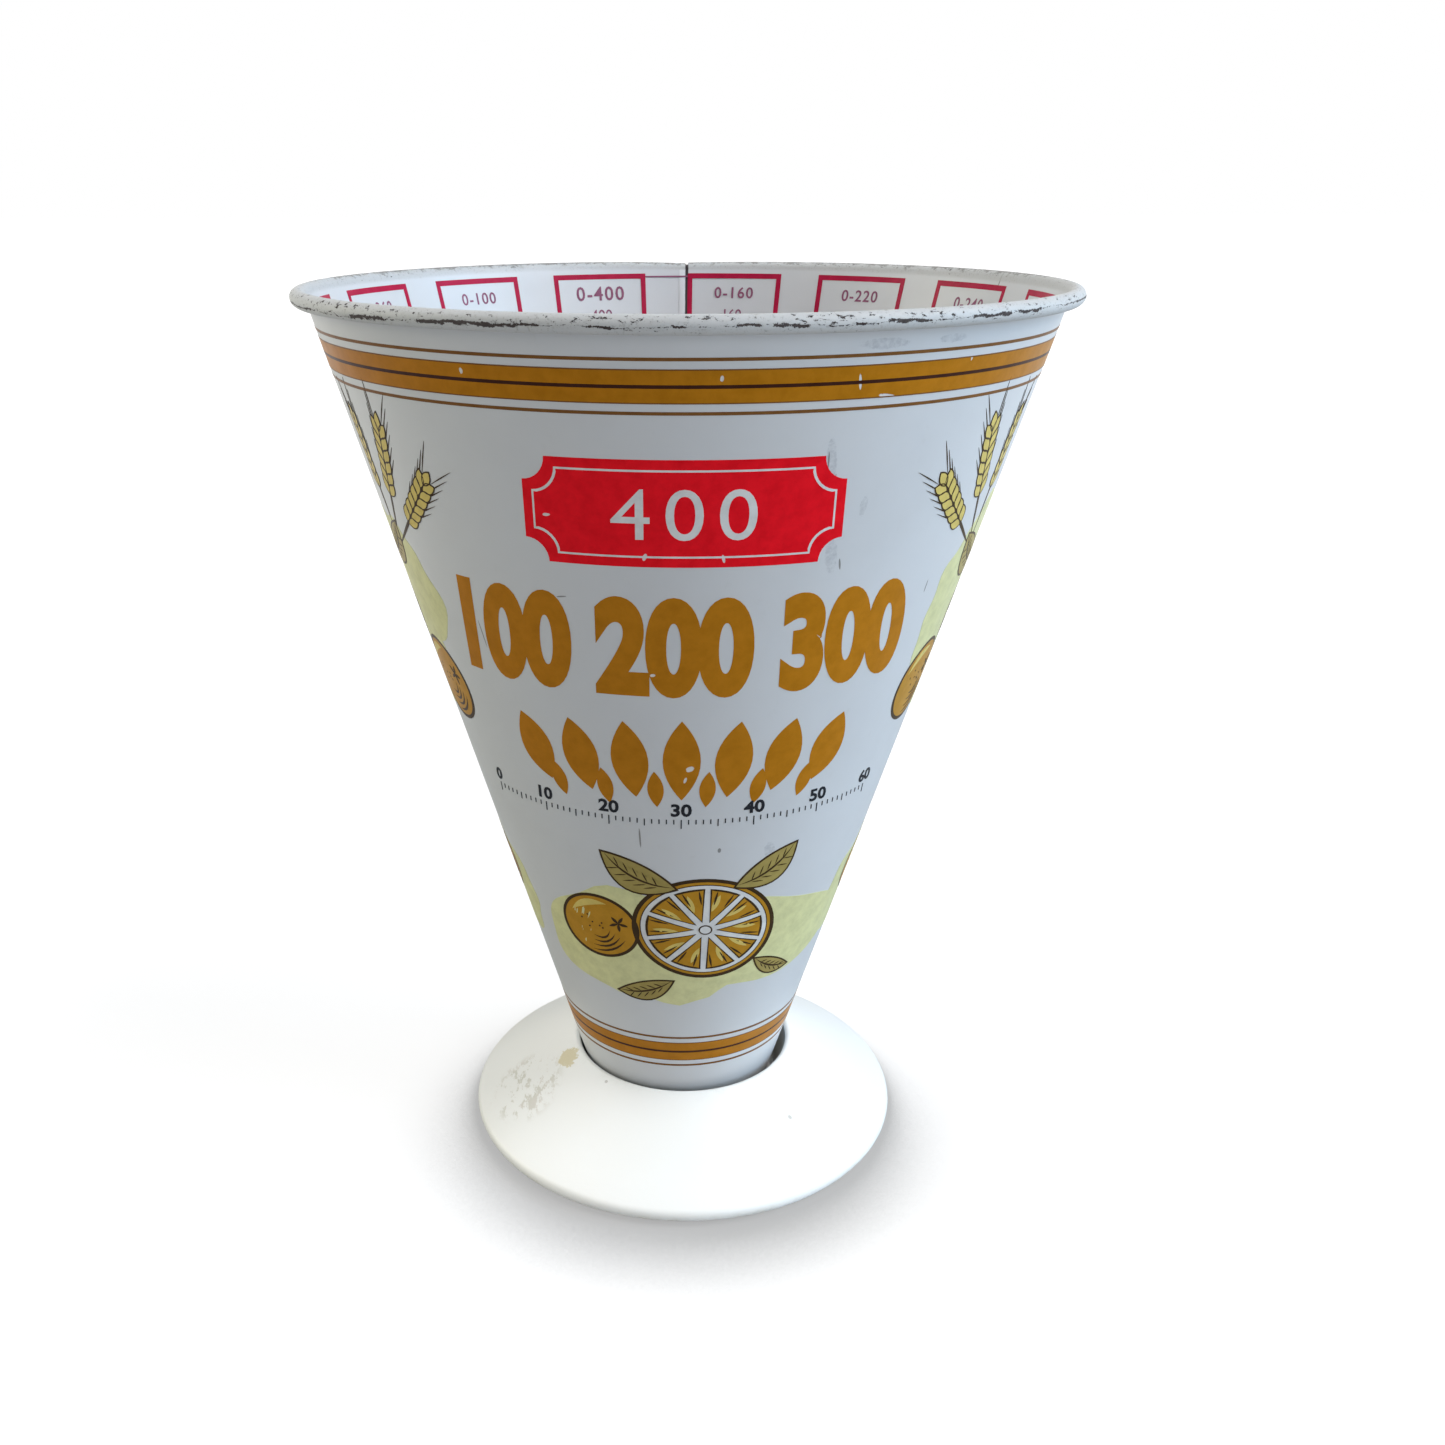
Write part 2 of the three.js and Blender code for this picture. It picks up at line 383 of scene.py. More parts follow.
# %% The pen and the turning
def arc(bm, vert, centre, axis, angle, steps):
    """Spins a vertex round a centre into an arc of edges, and returns the arc's last vertex."""
    made = bmesh.ops.spin(
        bm, geom=[vert], cent=centre, axis=axis, dvec=(0, 0, 0),
        angle=angle, steps=steps, use_merge=False,
    )
    return [g for g in made["geom_last"] if isinstance(g, bmesh.types.BMVert)][0]


class Pen:
    """Draws a section in the XZ plane with extruded and spun vertices."""

    def __init__(self, start):
        self.bm = bmesh.new()
        self.tip = self.bm.verts.new(start)

    def run(self, goal, steps=1):
        stride = (goal - self.tip.co) / steps
        for _ in range(steps):
            self.tip = bmesh.ops.extrude_vert_indiv(self.bm, verts=[self.tip])["verts"][0]
            self.tip.co += stride

    def bend(self, centre, degrees, steps):
        """An arc round a centre, anticlockwise seen with the radius to the right and Z up."""
        self.tip = arc(self.bm, self.tip, centre, (0, -1, 0), math.radians(degrees), steps)


def turn(bm, steps):
    """Spins a section round the Z axis into a surface with no seam and closed poles."""
    geometry = bm.verts[:] + bm.edges[:]
    bmesh.ops.spin(
        bm, geom=geometry, cent=(0, 0, 0), axis=(0, 0, 1), dvec=(0, 0, 0),
        angle=math.tau, steps=steps, use_merge=True,
    )
    bmesh.ops.remove_doubles(bm, verts=bm.verts[:], dist=0.0005)
    bmesh.ops.dissolve_degenerate(bm, edges=bm.edges[:], dist=0.0002)
    bmesh.ops.recalc_face_normals(bm, faces=bm.faces[:])


def face_towards(bm, place, direction):
    """Turns every face over if the one nearest to a place looks away from a direction."""
    probe = min(bm.faces, key=lambda f: (f.calc_center_median() - Vector(place)).length)
    if probe.normal.dot(direction) < 0:
        bmesh.ops.reverse_faces(bm, faces=bm.faces[:])


def append(target, source, place=None):
    """Moves all of one bmesh into another. The first is gone afterwards."""
    carrier = bpy.data.meshes.new("carrier")
    source.to_mesh(carrier)
    source.free()
    if place is not None:
        carrier.transform(place)
    target.from_mesh(carrier)
    bpy.data.meshes.remove(carrier)


SHEAR = Matrix.Identity(4)
SHEAR[0][2] = LOOSE
SHEAR[0][3] = -LOOSE * HEIGHT


def finish_piece(name, bm, finish, body, sharp=35.0, replaced=None):
    """Turns a bmesh in millimetres into an object in metres that rides on a body."""
    if body == "measure":
        bm.transform(SHEAR)
    bm.transform(Matrix.Scale(MM, 4))
    bm.normal_update()
    for face in bm.faces:
        face.smooth = True
    limit = math.radians(sharp)
    for edge in bm.edges:
        edge.smooth = edge.calc_face_angle(0.0) < limit
    mesh = bpy.data.meshes.new(name)
    bm.to_mesh(mesh)
    bm.free()
    piece = bpy.data.objects.new(name, mesh)
    scene.collection.objects.link(piece)
    mesh.materials.append(finish.material)
    if replaced:
        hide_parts(replaced)
    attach(piece, body)
    mesh.calc_loop_triangles()
    print(f"{name}: {len(mesh.loop_triangles)} triangles")


# %% [markdown]
# ## Marks of use
# Old printed tinplate has marks that go through the ink: nicks where the white shows, short
# scratches and grey rubbed smears. They lie at places on the cone, so one function makes them all:
# the scratches and smears on the enamel, and a few nicks on three of the inks. A mark's place is its
# angle round the cone and its height, which for marks and print alike counts from a base line a
# little above the table. Each mark is a soft ellipse in those two, turned by a slope, and a fine
# noise frays its edge.

# %% Places on the cone in the shader
PRINT_BASE = 2.6
# ink, and for each nick: azimuth in degrees, height, half across, half up, slope in degrees
NICKS = {
    "band_ochre": (
        (-30.3, 123.1, 0.24, 0.36, 0), (4.6, 123.0, 0.22, 0.35, 0), (23.0, 122.1, 0.18, 0.95, 12),
        (27.6, 120.3, 1.20, 0.24, -8), (41.2, 124.3, 0.20, 0.80, 0),
    ),
    "letter_ochre": (
        (1.8, 71.0, 0.6, 0.4, 30), (0.8, 69.2, 0.2, 0.5, -15), (-5.5, 85.3, 0.35, 0.22, 10),
    ),
    "plaque_red": (
        (-6.0, 101.6, 0.25, 0.5, -20), (6.2, 101.4, 0.2, 0.55, 15), (-21.0, 106.4, 0.5, 0.2, 5),
    ),
}
SCRATCHES = (
    (-10.4, 59.2, 0.13, 1.7, 0), (20.5, 113.0, 0.10, 1.2, 6), (22.0, 110.6, 0.10, 0.8, -5),
    (49.9, 93.6, 0.12, 0.9, 0), (-20.8, 95.6, 0.7, 0.10, 8), (9.9, 57.1, 0.25, 0.4, 0),
    (26.0, 99.6, 0.14, 0.8, 15), (-41.0, 88.0, 0.10, 2.0, 4), (35.0, 74.0, 0.12, 1.1, -10),
    (112.5, 129.0, 0.14, 1.3, 6), (-19.6, 128.8, 0.09, 0.7, 0), (-18.2, 128.6, 0.10, 0.6, 8),
)
SMEARS = (
    (21.0, 112.5, 0.7, 3.2, 8), (24.0, 101.0, 0.8, 2.6, 12), (28.0, 107.0, 0.5, 1.3, 0),
    (25.6, 126.3, 3.2, 0.6, 0), (36.5, 126.4, 2.2, 0.5, 0), (24.0, 56.0, 0.8, 1.5, 10),
)


class ConePlace:
    """The point's place on the cone in a material: metric angle round it, height and radius."""

    def __init__(self, finish):
        self.where, (x, self.y, self.z) = finish.place()
        # x counts from the leaning cone's own axis
        self.x = x + (HEIGHT - self.z) * LOOSE
        self.azimuth = self.x.sum("ARCTAN2", self.y * -1.0)
        self.radius = (self.x * self.x + self.y * self.y).root()

    def mark(self, degrees, height, half_across, half_up, slope, fray):
        """1 in the middle of a mark and 0 outside it."""
        aside = (self.azimuth - math.radians(degrees)) * cone_radius(height + PRINT_BASE)
        rise = self.z - height - PRINT_BASE
        turn_by = math.radians(slope)
        along = aside * math.cos(turn_by) + rise * math.sin(turn_by)
        over = rise * math.cos(turn_by) - aside * math.sin(turn_by)
        far = (along / half_across) ** 2.0 + (over / half_up) ** 2.0
        return (far + fray).step(1.15, 0.75)

    def marks(self, listed, fray):
        total = None
        for entry in listed:
            one = self.mark(*entry, fray)
            total = one if total is None else total.most(one)
        return total


# %% [markdown]
# ## White enamel
# The sheet is printed over a pale stoved enamel: a cool off-white, satin, with a faint orange-peel
# and a thin grey bloom of handling. At the rim it has chipped down to dark, rusted metal. The chips
# follow the lower front edge of the roll in long runs, so they come from a noise that is stretched
# round the rim, and a ramp over the angle says where the runs are thick.

# %% Enamel
ENAMEL = (0.62, 0.63, 0.645)
ENAMEL_GREY = (0.47, 0.48, 0.49)
ENAMEL_GRIMY = (0.40, 0.38, 0.34)
SMEAR_GREY = (0.27, 0.28, 0.31)
SCRATCH_DARK = (0.16, 0.15, 0.14)
RIM_ENAMEL = (0.50, 0.505, 0.50)
PIT_GREY = (0.28, 0.275, 0.26)
# grey for wear on the rim's top, which also paints shade there
WORN_AND_SHADED_GREY = (0.17, 0.165, 0.15)
RUST = (0.022, 0.014, 0.013)
RUST_PALE = (0.055, 0.045, 0.042)
# a painted highlight for the fold inside, and painted shade for the groove beside it
FOLD_HIGHLIGHT = (0.84, 0.86, 0.88)
GROOVE_SHADE = (0.035, 0.02, 0.028)
# worn runs along the rim's lower front edge: from and to in degrees from the front, and how deep
CHIP_RUNS = (
    (-75, -58, 0.66), (-46.5, -39.6, 1.0), (-35.1, -23.5, 1.0), (-23.3, -19.0, 0.9),
    (-18.3, -17.1, 0.8), (-11.5, -9.4, 0.8), (-2.4, -0.2, 0.85), (4.8, 7.9, 0.85),
    (9.6, 12.8, 0.85), (19.3, 20.7, 0.8), (23.7, 28.3, 0.85), (36.1, 43.0, 0.88),
    (44.3, 50.4, 0.92), (60, 74, 0.66),
)
# how worn the rim is between the runs
CHIP_BASE = 0.49


def make_enamel():
    finish = Finish("white_enamel", ENAMEL, 0.34, Specular_IOR_Level=0.4)
    place = ConePlace(finish)
    bloom = finish.noise(place.where, 0.045, 4.0, 0.6).step(-0.12, 0.3)
    grime = finish.noise(place.where, 0.35, 5.0, 0.7, (1, 1, 0.6)).step(0.10, 0.34)
    colour = finish.mix(bloom * 0.22, ENAMEL, ENAMEL_GREY)
    colour = finish.mix(grime * 0.16, colour, ENAMEL_GRIMY)
    fray = finish.noise(place.where, 2.2, 3.0, 0.7)
    cloudy = finish.noise(place.where, 1.2, 4.0, 0.7).step(-0.2, 0.2)
    dents = place.marks(SCRATCHES, fray * 0.7)
    colour = finish.mix(place.marks(SMEARS, fray * 1.8) * cloudy * 0.42, colour, SMEAR_GREY)
    colour = finish.mix(dents * 0.8, colour, SCRATCH_DARK)

    # the rim: angle round the roll, from outwards over the top
    out = place.radius - curl_centre.x
    rise = place.z - curl_centre.z
    roll = rise.sum("ARCTAN2", out)
    on_roll = (out * out + rise * rise).root().step(BEAD_RADIUS + 0.35, BEAD_RADIUS + 0.1)
    ragged = finish.noise(place.where, 0.55, 4.0, 0.65, (1, 1, 2.2))
    fine = finish.noise(place.where, 2.4, 4.0, 0.8)
    along = place.azimuth * 0.5 / math.pi + 0.5 + fine * 0.004
    wear = finish.node("ShaderNodeValToRGB", None, {0: along})
    ramp = wear.socket.node.color_ramp
    ramp.interpolation = "CONSTANT"
    stops = ramp.elements
    stops.remove(stops[1])
    stops[0].color = (CHIP_BASE, CHIP_BASE, CHIP_BASE, 1.0)
    for start, end, depth in CHIP_RUNS:
        stops.new(start / 360 + 0.5).color = (depth, depth, depth, 1.0)
        stops.new(end / 360 + 0.5).color = (CHIP_BASE, CHIP_BASE, CHIP_BASE, 1.0)
    wander = finish.noise(place.where, 0.14, 2.0)
    low_edge = abs(roll + 0.16 - place.x * 0.004 + wander * 1.0 + ragged * 0.9)
    chipped = (wear * 0.74 + ragged * 0.7 + fine * 1.2 - low_edge * 1.9).step(0.31, 0.36)
    flecks = finish.noise(place.where, 1.0, 4.0, 0.75, (1, 1, 2.4)) - abs(roll - 0.7) * 0.035
    chipped = chipped.most((flecks + wander * 0.12).step(0.085, 0.115)) * on_roll
    # wear on the roll's top that is also painted shade: it darkens the top, more so towards the back
    behind = place.y.step(-10.0, 25.0)
    top_edge = abs(roll - 1.92 + behind * 0.27)
    worn_and_shaded = (ragged * 1.3 + fine * 1.1 - top_edge * 0.45 + behind * 0.42).step(0.06, 0.28) * on_roll
    mottle = finish.noise(place.where, 1.6, 3.0, 0.6).step(-0.2, 0.3)
    metal = finish.mix(mottle, RUST, RUST_PALE)
    pits = finish.noise(place.where, 3.0, 4.0, 0.75).step(0.04, 0.2)
    rimmed = finish.mix(on_roll * 0.75, colour, RIM_ENAMEL)
    rimmed = finish.mix(pits * on_roll * 0.6, rimmed, PIT_GREY)
    rimmed = finish.mix(worn_and_shaded * 0.75, rimmed, WORN_AND_SHADED_GREY)
    rimmed = finish.mix(chipped, rimmed, metal)

    # a painted highlight on the fold, and painted shade in the groove beside it, inside the cone and
    # over the rim
    middle = (GROOVE[0] + GROOVE[1]) / 2
    start = wall_foot.x - wall_foot.z * TAPER
    within = (place.radius - place.z * TAPER).step(start + 0.40, start + 0.30).most(on_roll)
    within = within * place.y.step(0.0, 1.0)
    fold_highlight = abs(place.x - (FOLD[0] + FOLD[1]) / 2).step(0.58, 0.46) * within * (1 - on_roll)
    # painted shade along the groove, and through the nick in the rim
    seam = abs(place.x - middle + fine * 0.15).step(0.34, 0.18) * within
    rimmed = finish.mix(fold_highlight * 0.7, rimmed, FOLD_HIGHLIGHT)
    finish.feed("Base Color", finish.mix(seam * 0.95, rimmed, GROOVE_SHADE))
    bare = chipped.most(worn_and_shaded * 0.5)
    rough = 0.33 + finish.noise(place.where, 0.25, 3.0) * 0.14 + bloom * 0.06 + bare * 0.3 + dents * 0.2
    finish.feed("Roughness", rough.most(on_roll * 0.5))
    peel = finish.noise(place.where, 1.1, 2.0)
    slow = finish.noise(place.where, 0.12, 2.0)
    relief = peel * 0.10 + slow * 0.5 - bare * 0.9 - dents * 0.5 - pits * on_roll * 0.35
    finish.bump(relief, 0.06)
    return finish


enamel = make_enamel()
print("enamel nodes:", len(enamel.tree.nodes))

# %% [markdown]
# ## The cone's wall
# The wall carries the side seam at the back. It is folded: outside it is a raised flat band, inside
# a flat fold shows, and beside it the groove where the sheet's end meets the sheet. The enamel paints
# a highlight on the fold and shade in the groove. Planes cut the surface beside each of those lines,
# and then the vertices between them are moved. The groove goes on as a nick through the roll of the
# rim, and the end on its left stands a little lower.

# %% Draw and turn the wall
TURN_STEPS = 256
WALL_STEPS = 48
CURL_STEPS = 24
HEM_STEPS = 8
SEAM_FOOT = hem_centre.z
SEAM_TOP = curl_centre.z - BEAD_RADIUS - FIT_GAP

hem_inner = hem_bend - SHEET / 2
closing = math.degrees(math.acos((BEAD_RADIUS - SHEET - FIT_GAP) / BEAD_RADIUS))
pen = Pen(hem_centre - hem_inner * out_of_wall + HEM_LEG * up_wall)
pen.run(hem_centre - hem_inner * out_of_wall)
pen.bend(hem_centre, 180, HEM_STEPS)
pen.run(curl_centre - BEAD_RADIUS * out_of_wall, WALL_STEPS)
pen.bend(curl_centre, closing - 360, CURL_STEPS)
wall = pen.bm
turn(wall, TURN_STEPS)
face_towards(wall, (0, -cone_radius(70), 70), Vector((0, 1, 0)))

# the raised seam's edges slope over a short way, which three cuts on each side divide
BEVELS = (0.0, 0.15, 0.3)
cuts = [bevel - SEAM_HALF for bevel in BEVELS]
cuts += [FOLD[0] - 0.1, *FOLD, *GROOVE, GROOVE[1] + 0.05]
cuts += [SEAM_HALF - bevel for bevel in reversed(BEVELS)]
for cut in cuts:
    near = [f for f in wall.faces if all(v.co.y > 0 and abs(v.co.x) < 5 for v in f.verts)]
    parts = near + list({e for f in near for e in f.edges}) + list({v for f in near for v in f.verts})
    bmesh.ops.bisect_plane(wall, geom=parts, dist=0.0005, plane_co=(cut, 0, 0), plane_no=(1, 0, 0))

bmesh.ops.solidify(wall, geom=wall.faces[:], thickness=SHEET)


# %% Shape the seam and the waves
RIM_DENTS = 0.03
FOLD_PROUD = 0.07
GROOVE_DEPTH = 0.28
# the share of the roll's radius that the nick takes
NICK_DEPTH = 0.35
# a cut's own vertices count as between the cuts
NUDGE = 0.01
# where the sheet's ends begin to sag towards the rim, and over what height
SAG_FOOT = 114
SAG_RISE = 14
# how low each end is at the rim, and the way round over which it dies out: left, then right
SAGS = ((0.42, 9), (0.30, -14))


def shape_sheet(point):
    """Moves one point of the sheet: the seam at the back, and the waves."""
    radius = math.hypot(point.x, point.y)
    z = point.z
    shift = -wave(math.atan2(point.x, -point.y), z)
    rolled = (radius - curl_centre.x) ** 2 + (z - curl_centre.z) ** 2 < (BEAD_RADIUS + 0.05) ** 2
    if rolled:
        shift -= RIM_DENTS * (1 + noise.noise(Vector((point.x, point.y, z)) * 0.22))
    if point.y > 0 and abs(point.x) < SEAM_HALF + 0.2:
        outer = radius > cone_radius(z, 0)
        on_wall = SEAM_FOOT < z < SEAM_TOP
        in_groove = GROOVE[0] - NUDGE < point.x < GROOVE[1] + NUDGE
        if on_wall and outer and not rolled:
            ends = smooth((z - SEAM_FOOT) / 0.5) * smooth((SEAM_TOP - z) / 0.8)
            shift += (SEAM_PROUD - 0.02) * smooth((SEAM_HALF - abs(point.x)) / BEVELS[-1]) * ends
        if on_wall and not outer and FOLD[0] - NUDGE < point.x < FOLD[1] + NUDGE:
            shift -= FOLD_PROUD
        if on_wall and not outer and in_groove:
            shift += GROOVE_DEPTH
        if rolled and in_groove:
            inwards = spot(radius, z) - curl_centre
            radius -= inwards.x * NICK_DEPTH
            z -= inwards.z * NICK_DEPTH
    if point.y > 0 and z > SAG_FOOT:
        low, reach = SAGS[0] if point.x < GROOVE[0] else SAGS[1]
        z -= low * smooth((z - SAG_FOOT) / SAG_RISE) * math.exp((point.x - GROOVE[0]) / reach)
    scale = (radius + shift) / math.hypot(point.x, point.y)
    return Vector((point.x * scale, point.y * scale, z))


for vert in wall.verts:
    vert.co = shape_sheet(vert.co)
finish_piece("tinplate_cone", wall, enamel, "measure", 40.0, "cone_wall")

# %% [markdown]
# ## Cap and wire
# The cap is the bottom of the measure, a pressed disc whose flange the hem grips. Its tinplate has
# a thin clear lacquer. The wire is inside the roll and can't be seen, but it stays in the model and
# has its own bare steel.

# %% Lacquered tinplate and steel
TIN = (0.44, 0.425, 0.385)
TIN_DULL = (0.29, 0.27, 0.235)
TIN_SPOT = (0.16, 0.11, 0.07)
STEEL = (0.45, 0.44, 0.43)
STEEL_RUSTY = (0.16, 0.07, 0.03)
tinned = Finish("lacquered_tin", TIN, 0.38, Metallic=0.85, Coat_Weight=0.15)
place = ConePlace(tinned)
rings = (place.radius * 2.2 + tinned.noise(place.where, 0.3) * 0.8).sum("SINE")
dull = tinned.noise(place.where, 0.18, 4.0, 0.65).step(-0.1, 0.25)
spots = tinned.noise(place.where, 1.4, 3.0, 0.7).step(0.14, 0.26)
dulled = tinned.mix(dull * 0.6, TIN, TIN_DULL)
tinned.feed("Base Color", tinned.mix(spots * 0.5, dulled, TIN_SPOT))
tinned.feed("Roughness", 0.34 + dull * 0.2 + spots * 0.2)
tinned.bump(rings * 0.1 + dull * 0.3, 0.05)

steel = Finish("bare_steel", STEEL, 0.35, Metallic=1.0)
where, _ = steel.place()
rusty = steel.noise(where, 0.9, 4.0, 0.7).step(0.02, 0.22)
steel.feed("Base Color", steel.mix(rusty * 0.7, STEEL, STEEL_RUSTY))
steel.feed("Metallic", 1.0 - rusty * 0.8)
steel.feed("Roughness", 0.3 + rusty * 0.4)
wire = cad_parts["rim_wire"]
wire.data.materials.clear()
wire.data.materials.append(steel.material)

# %% The cap
# radii and steps of the flat middle, from the bend inwards
CAP_RUNS = ((10.6, 2), (9.4, 3), (0.0, 6))
cap_floor = (hem_centre - hem_bend * out_of_wall + HEM_LEG * up_wall).z + CAP_RISE + SHEET / 2
flange_rise = cap_floor - CAP_BEND - hem_centre.z - CAP_BEND * math.sin(LEAN)
bend_centre = hem_centre + flange_rise / math.cos(LEAN) * up_wall - CAP_BEND * out_of_wall
outside_bend = CAP_BEND + SHEET / 2
flange_end = hem_centre - (hem_bend - SHEET / 2 - FIT_GAP) * up_wall + SHEET / 2 * out_of_wall
pen = Pen(flange_end)
pen.run(bend_centre + outside_bend * out_of_wall, 3)
pen.bend(bend_centre, 90 + math.degrees(LEAN), 10)
for radius, steps in CAP_RUNS:
    pen.run(spot(radius, pen.tip.co.z), steps)
cap = pen.bm
turn(cap, 128)
face_towards(cap, (0, 0, cap_floor), Vector((0, 0, 1)))
bmesh.ops.solidify(cap, geom=cap.faces[:], thickness=SHEET)
finish_piece("pressed_cap", cap, tinned, "measure", 40.0, "cone_cap")

# %% [markdown]
# ## The plastic foot
# The foot is one moulding: a socket tube with a floor, a sloping skirt that ends in a rounded lip,
# a ring to stand on and six ribs that can only be seen from below. The pen draws its whole outline,
# the turning makes it solid, and a Boolean joins the ribs to it.

# %% Measures of the foot
FOOT_RADIUS = 34.6
FOOT_HEIGHT = 12.0
SKIRT_WALL = 1.9
SOCKET_WALL = 1.8
FLOOR_LIFT = 3.8
LIP_RADIUS = 1.25
LIP_LIFT = 0.35
MOUTH_ROUND = 0.7
RING_INSET = 3.0
RING_WIDTH = 1.6
RIB_COUNT = 6
RIB_WALL = 1.4
RIB_LIFT = 1.6
RIB_START = FLOOR_LIFT + FIT_GAP
RING_BEVEL = 0.25
FLOOR_BEVEL = 0.4
ring_middle = FOOT_RADIUS - RING_INSET - RING_WIDTH / 2


def socket_radius(z):
    return cone_radius(z) + SEAM_PROUD + FIT_GAP


lip_centre = spot(FOOT_RADIUS - LIP_RADIUS, LIP_LIFT + LIP_RADIUS)
mouth_centre = spot(socket_radius(FOOT_HEIGHT) + MOUTH_ROUND, FOOT_HEIGHT - MOUTH_ROUND)
between = mouth_centre - lip_centre
SLOPE = math.atan2(between.z, -between.x) + math.asin((MOUTH_ROUND - LIP_RADIUS) / between.length)
over_skirt = spot(math.sin(SLOPE), math.cos(SLOPE))
skirt_start = lip_centre + LIP_RADIUS * over_skirt


def skirt_under(r):
    return skirt_start.z + (skirt_start.x - r) * math.tan(SLOPE) - SKIRT_WALL / math.cos(SLOPE)


print("skirt slope", round(math.degrees(SLOPE), 1))

# %% White plastic
PLASTIC = (0.93, 0.93, 0.905)
YELLOWED = (0.92, 0.915, 0.865)
LIP_DIRT = (0.62, 0.58, 0.46)
# the mouth's colour is dirt and painted shade, and the socket's is painted shade in the gap round the
# cone
MOUTH_DIRT_AND_SHADE = (0.50, 0.45, 0.38)
SOCKET_SHADE = (0.13, 0.125, 0.10)
RUBBED_TINTS = ((0.56, 0.54, 0.45), (0.62, 0.57, 0.50))
OCHRE = (0.61, 0.50, 0.22)
SPECK_BROWN = (0.30, 0.26, 0.22)
# azimuth in degrees, radius, half across, half along the radius
OCHRE_STAIN = (-70.0, 20.0, 2.1, 1.7)
RUBBED_AREA = (-71.0, 27.0, 7.4, 5.6)
SPECKS = ((42.5, 25.0, 0.30, 0.30), (-39.9, 18.9, 0.28, 0.22))


def make_plastic():
    finish = Finish("white_plastic", PLASTIC, 0.38)
    where, (x, y, z) = finish.place()
    azimuth = x.sum("ARCTAN2", y * -1.0)
    radius = (x * x + y * y).root()
    fray = finish.noise(where, 0.8, 5.0, 0.75)

    def within(degrees, middle, half_across, half_along):
        """Squared distance from a place on the skirt, 1 on the edge of its ellipse."""
        aside = (azimuth - math.radians(degrees)) * middle
        return (aside / half_across) ** 2.0 + ((radius - middle) / half_along) ** 2.0

    ochre_stain = (within(*OCHRE_STAIN) * 0.7 + fray * 3.2).step(0.8, 0.45)
    streaks = finish.noise(where, 0.42, 5.0, 0.78, (1.0, 0.5, 1.0)).step(0.015, 0.075)
    rubbed = streaks * within(*RUBBED_AREA).step(1.3, 0.45)
    speck = within(*SPECKS[0]).least(within(*SPECKS[1])).step(1.4, 0.7)
    yellowing = finish.noise(where, 0.05, 3.0, 0.5).step(-0.2, 0.35)
    lip_dirt = z.step(2.2, 0.8) * finish.noise(where, 0.16, 4.0, 0.7).step(-0.1, 0.22)
    # dirt and painted shade on the mouth's rounding and down into the socket
    mouth_dirt_and_shade = radius.step(19.4, 17.3) * finish.noise(where, 0.4, 4.0, 0.7).step(0.0, 0.3)
    colour = finish.mix(yellowing * 0.5, PLASTIC, YELLOWED)
    colour = finish.mix(lip_dirt * 0.5, colour, LIP_DIRT)
    colour = finish.mix(mouth_dirt_and_shade * 0.35, colour, MOUTH_DIRT_AND_SHADE)
    # painted shade: the socket's inner wall above its floor, in the gap round the cone, is made nearly
    # black
    in_socket = radius.step(mouth_centre.x - 0.60, mouth_centre.x - 0.72)
    socket_shade = in_socket * z.step(SOCKET_FLOOR, 7.0)
    colour = finish.mix(socket_shade * 0.75, colour, SOCKET_SHADE)
    patchy = finish.noise(where, 0.2, 2.0).step(-0.05, 0.1)
    colour = finish.mix(rubbed * 0.62, colour, finish.mix(patchy, *RUBBED_TINTS))
    colour = finish.mix(ochre_stain * 0.68, colour, OCHRE)
    finish.feed("Base Color", finish.mix(speck * 0.5, colour, SPECK_BROWN))
    grain = finish.noise(where, 0.9, 2.0)
    finish.feed("Roughness", 0.36 + grain * 0.1 + rubbed * 0.2 + ochre_stain * 0.15 + lip_dirt * 0.1)
    finish.bump(grain * 0.35 + finish.noise(where, 0.12, 2.0) * 0.65 + ochre_stain * 0.3, 0.05)
    return finish


plastic = make_plastic()

# %% Turn the moulding and join the ribs
tube_top = socket_radius(FOOT_HEIGHT) + SOCKET_WALL
tube_foot = socket_radius(FLOOR_LIFT) + SOCKET_WALL
ring_in = ring_middle - RING_WIDTH / 2
ring_out = ring_middle + RING_WIDTH / 2
pen = Pen(spot(0.0, FLOOR_LIFT))
pen.run(spot(tube_foot, FLOOR_LIFT), 4)
pen.run(spot(tube_top, skirt_under(tube_top)), 3)
pen.run(spot(ring_in, skirt_under(ring_in)), 4)
pen.run(spot(ring_in, RING_BEVEL))
pen.run(spot(ring_in + RING_BEVEL, 0.0))
pen.run(spot(ring_out - RING_BEVEL, 0.0))
pen.run(spot(ring_out, RING_BEVEL))
pen.run(spot(ring_out, LIP_LIFT))
pen.run(spot(lip_centre.x, LIP_LIFT))
pen.bend(lip_centre, 180 - math.degrees(SLOPE), 14)
pen.run(mouth_centre + MOUTH_ROUND * over_skirt, 6)
pen.bend(mouth_centre, 90 + math.degrees(SLOPE), 8)
bevel_top = SOCKET_FLOOR + FLOOR_BEVEL
pen.run(spot(socket_radius(bevel_top), bevel_top), 3)
pen.run(spot(socket_radius(SOCKET_FLOOR) - FLOOR_BEVEL, SOCKET_FLOOR))
pen.run(spot(0.0, SOCKET_FLOOR), 4)
foot = pen.bm
turn(foot, 192)

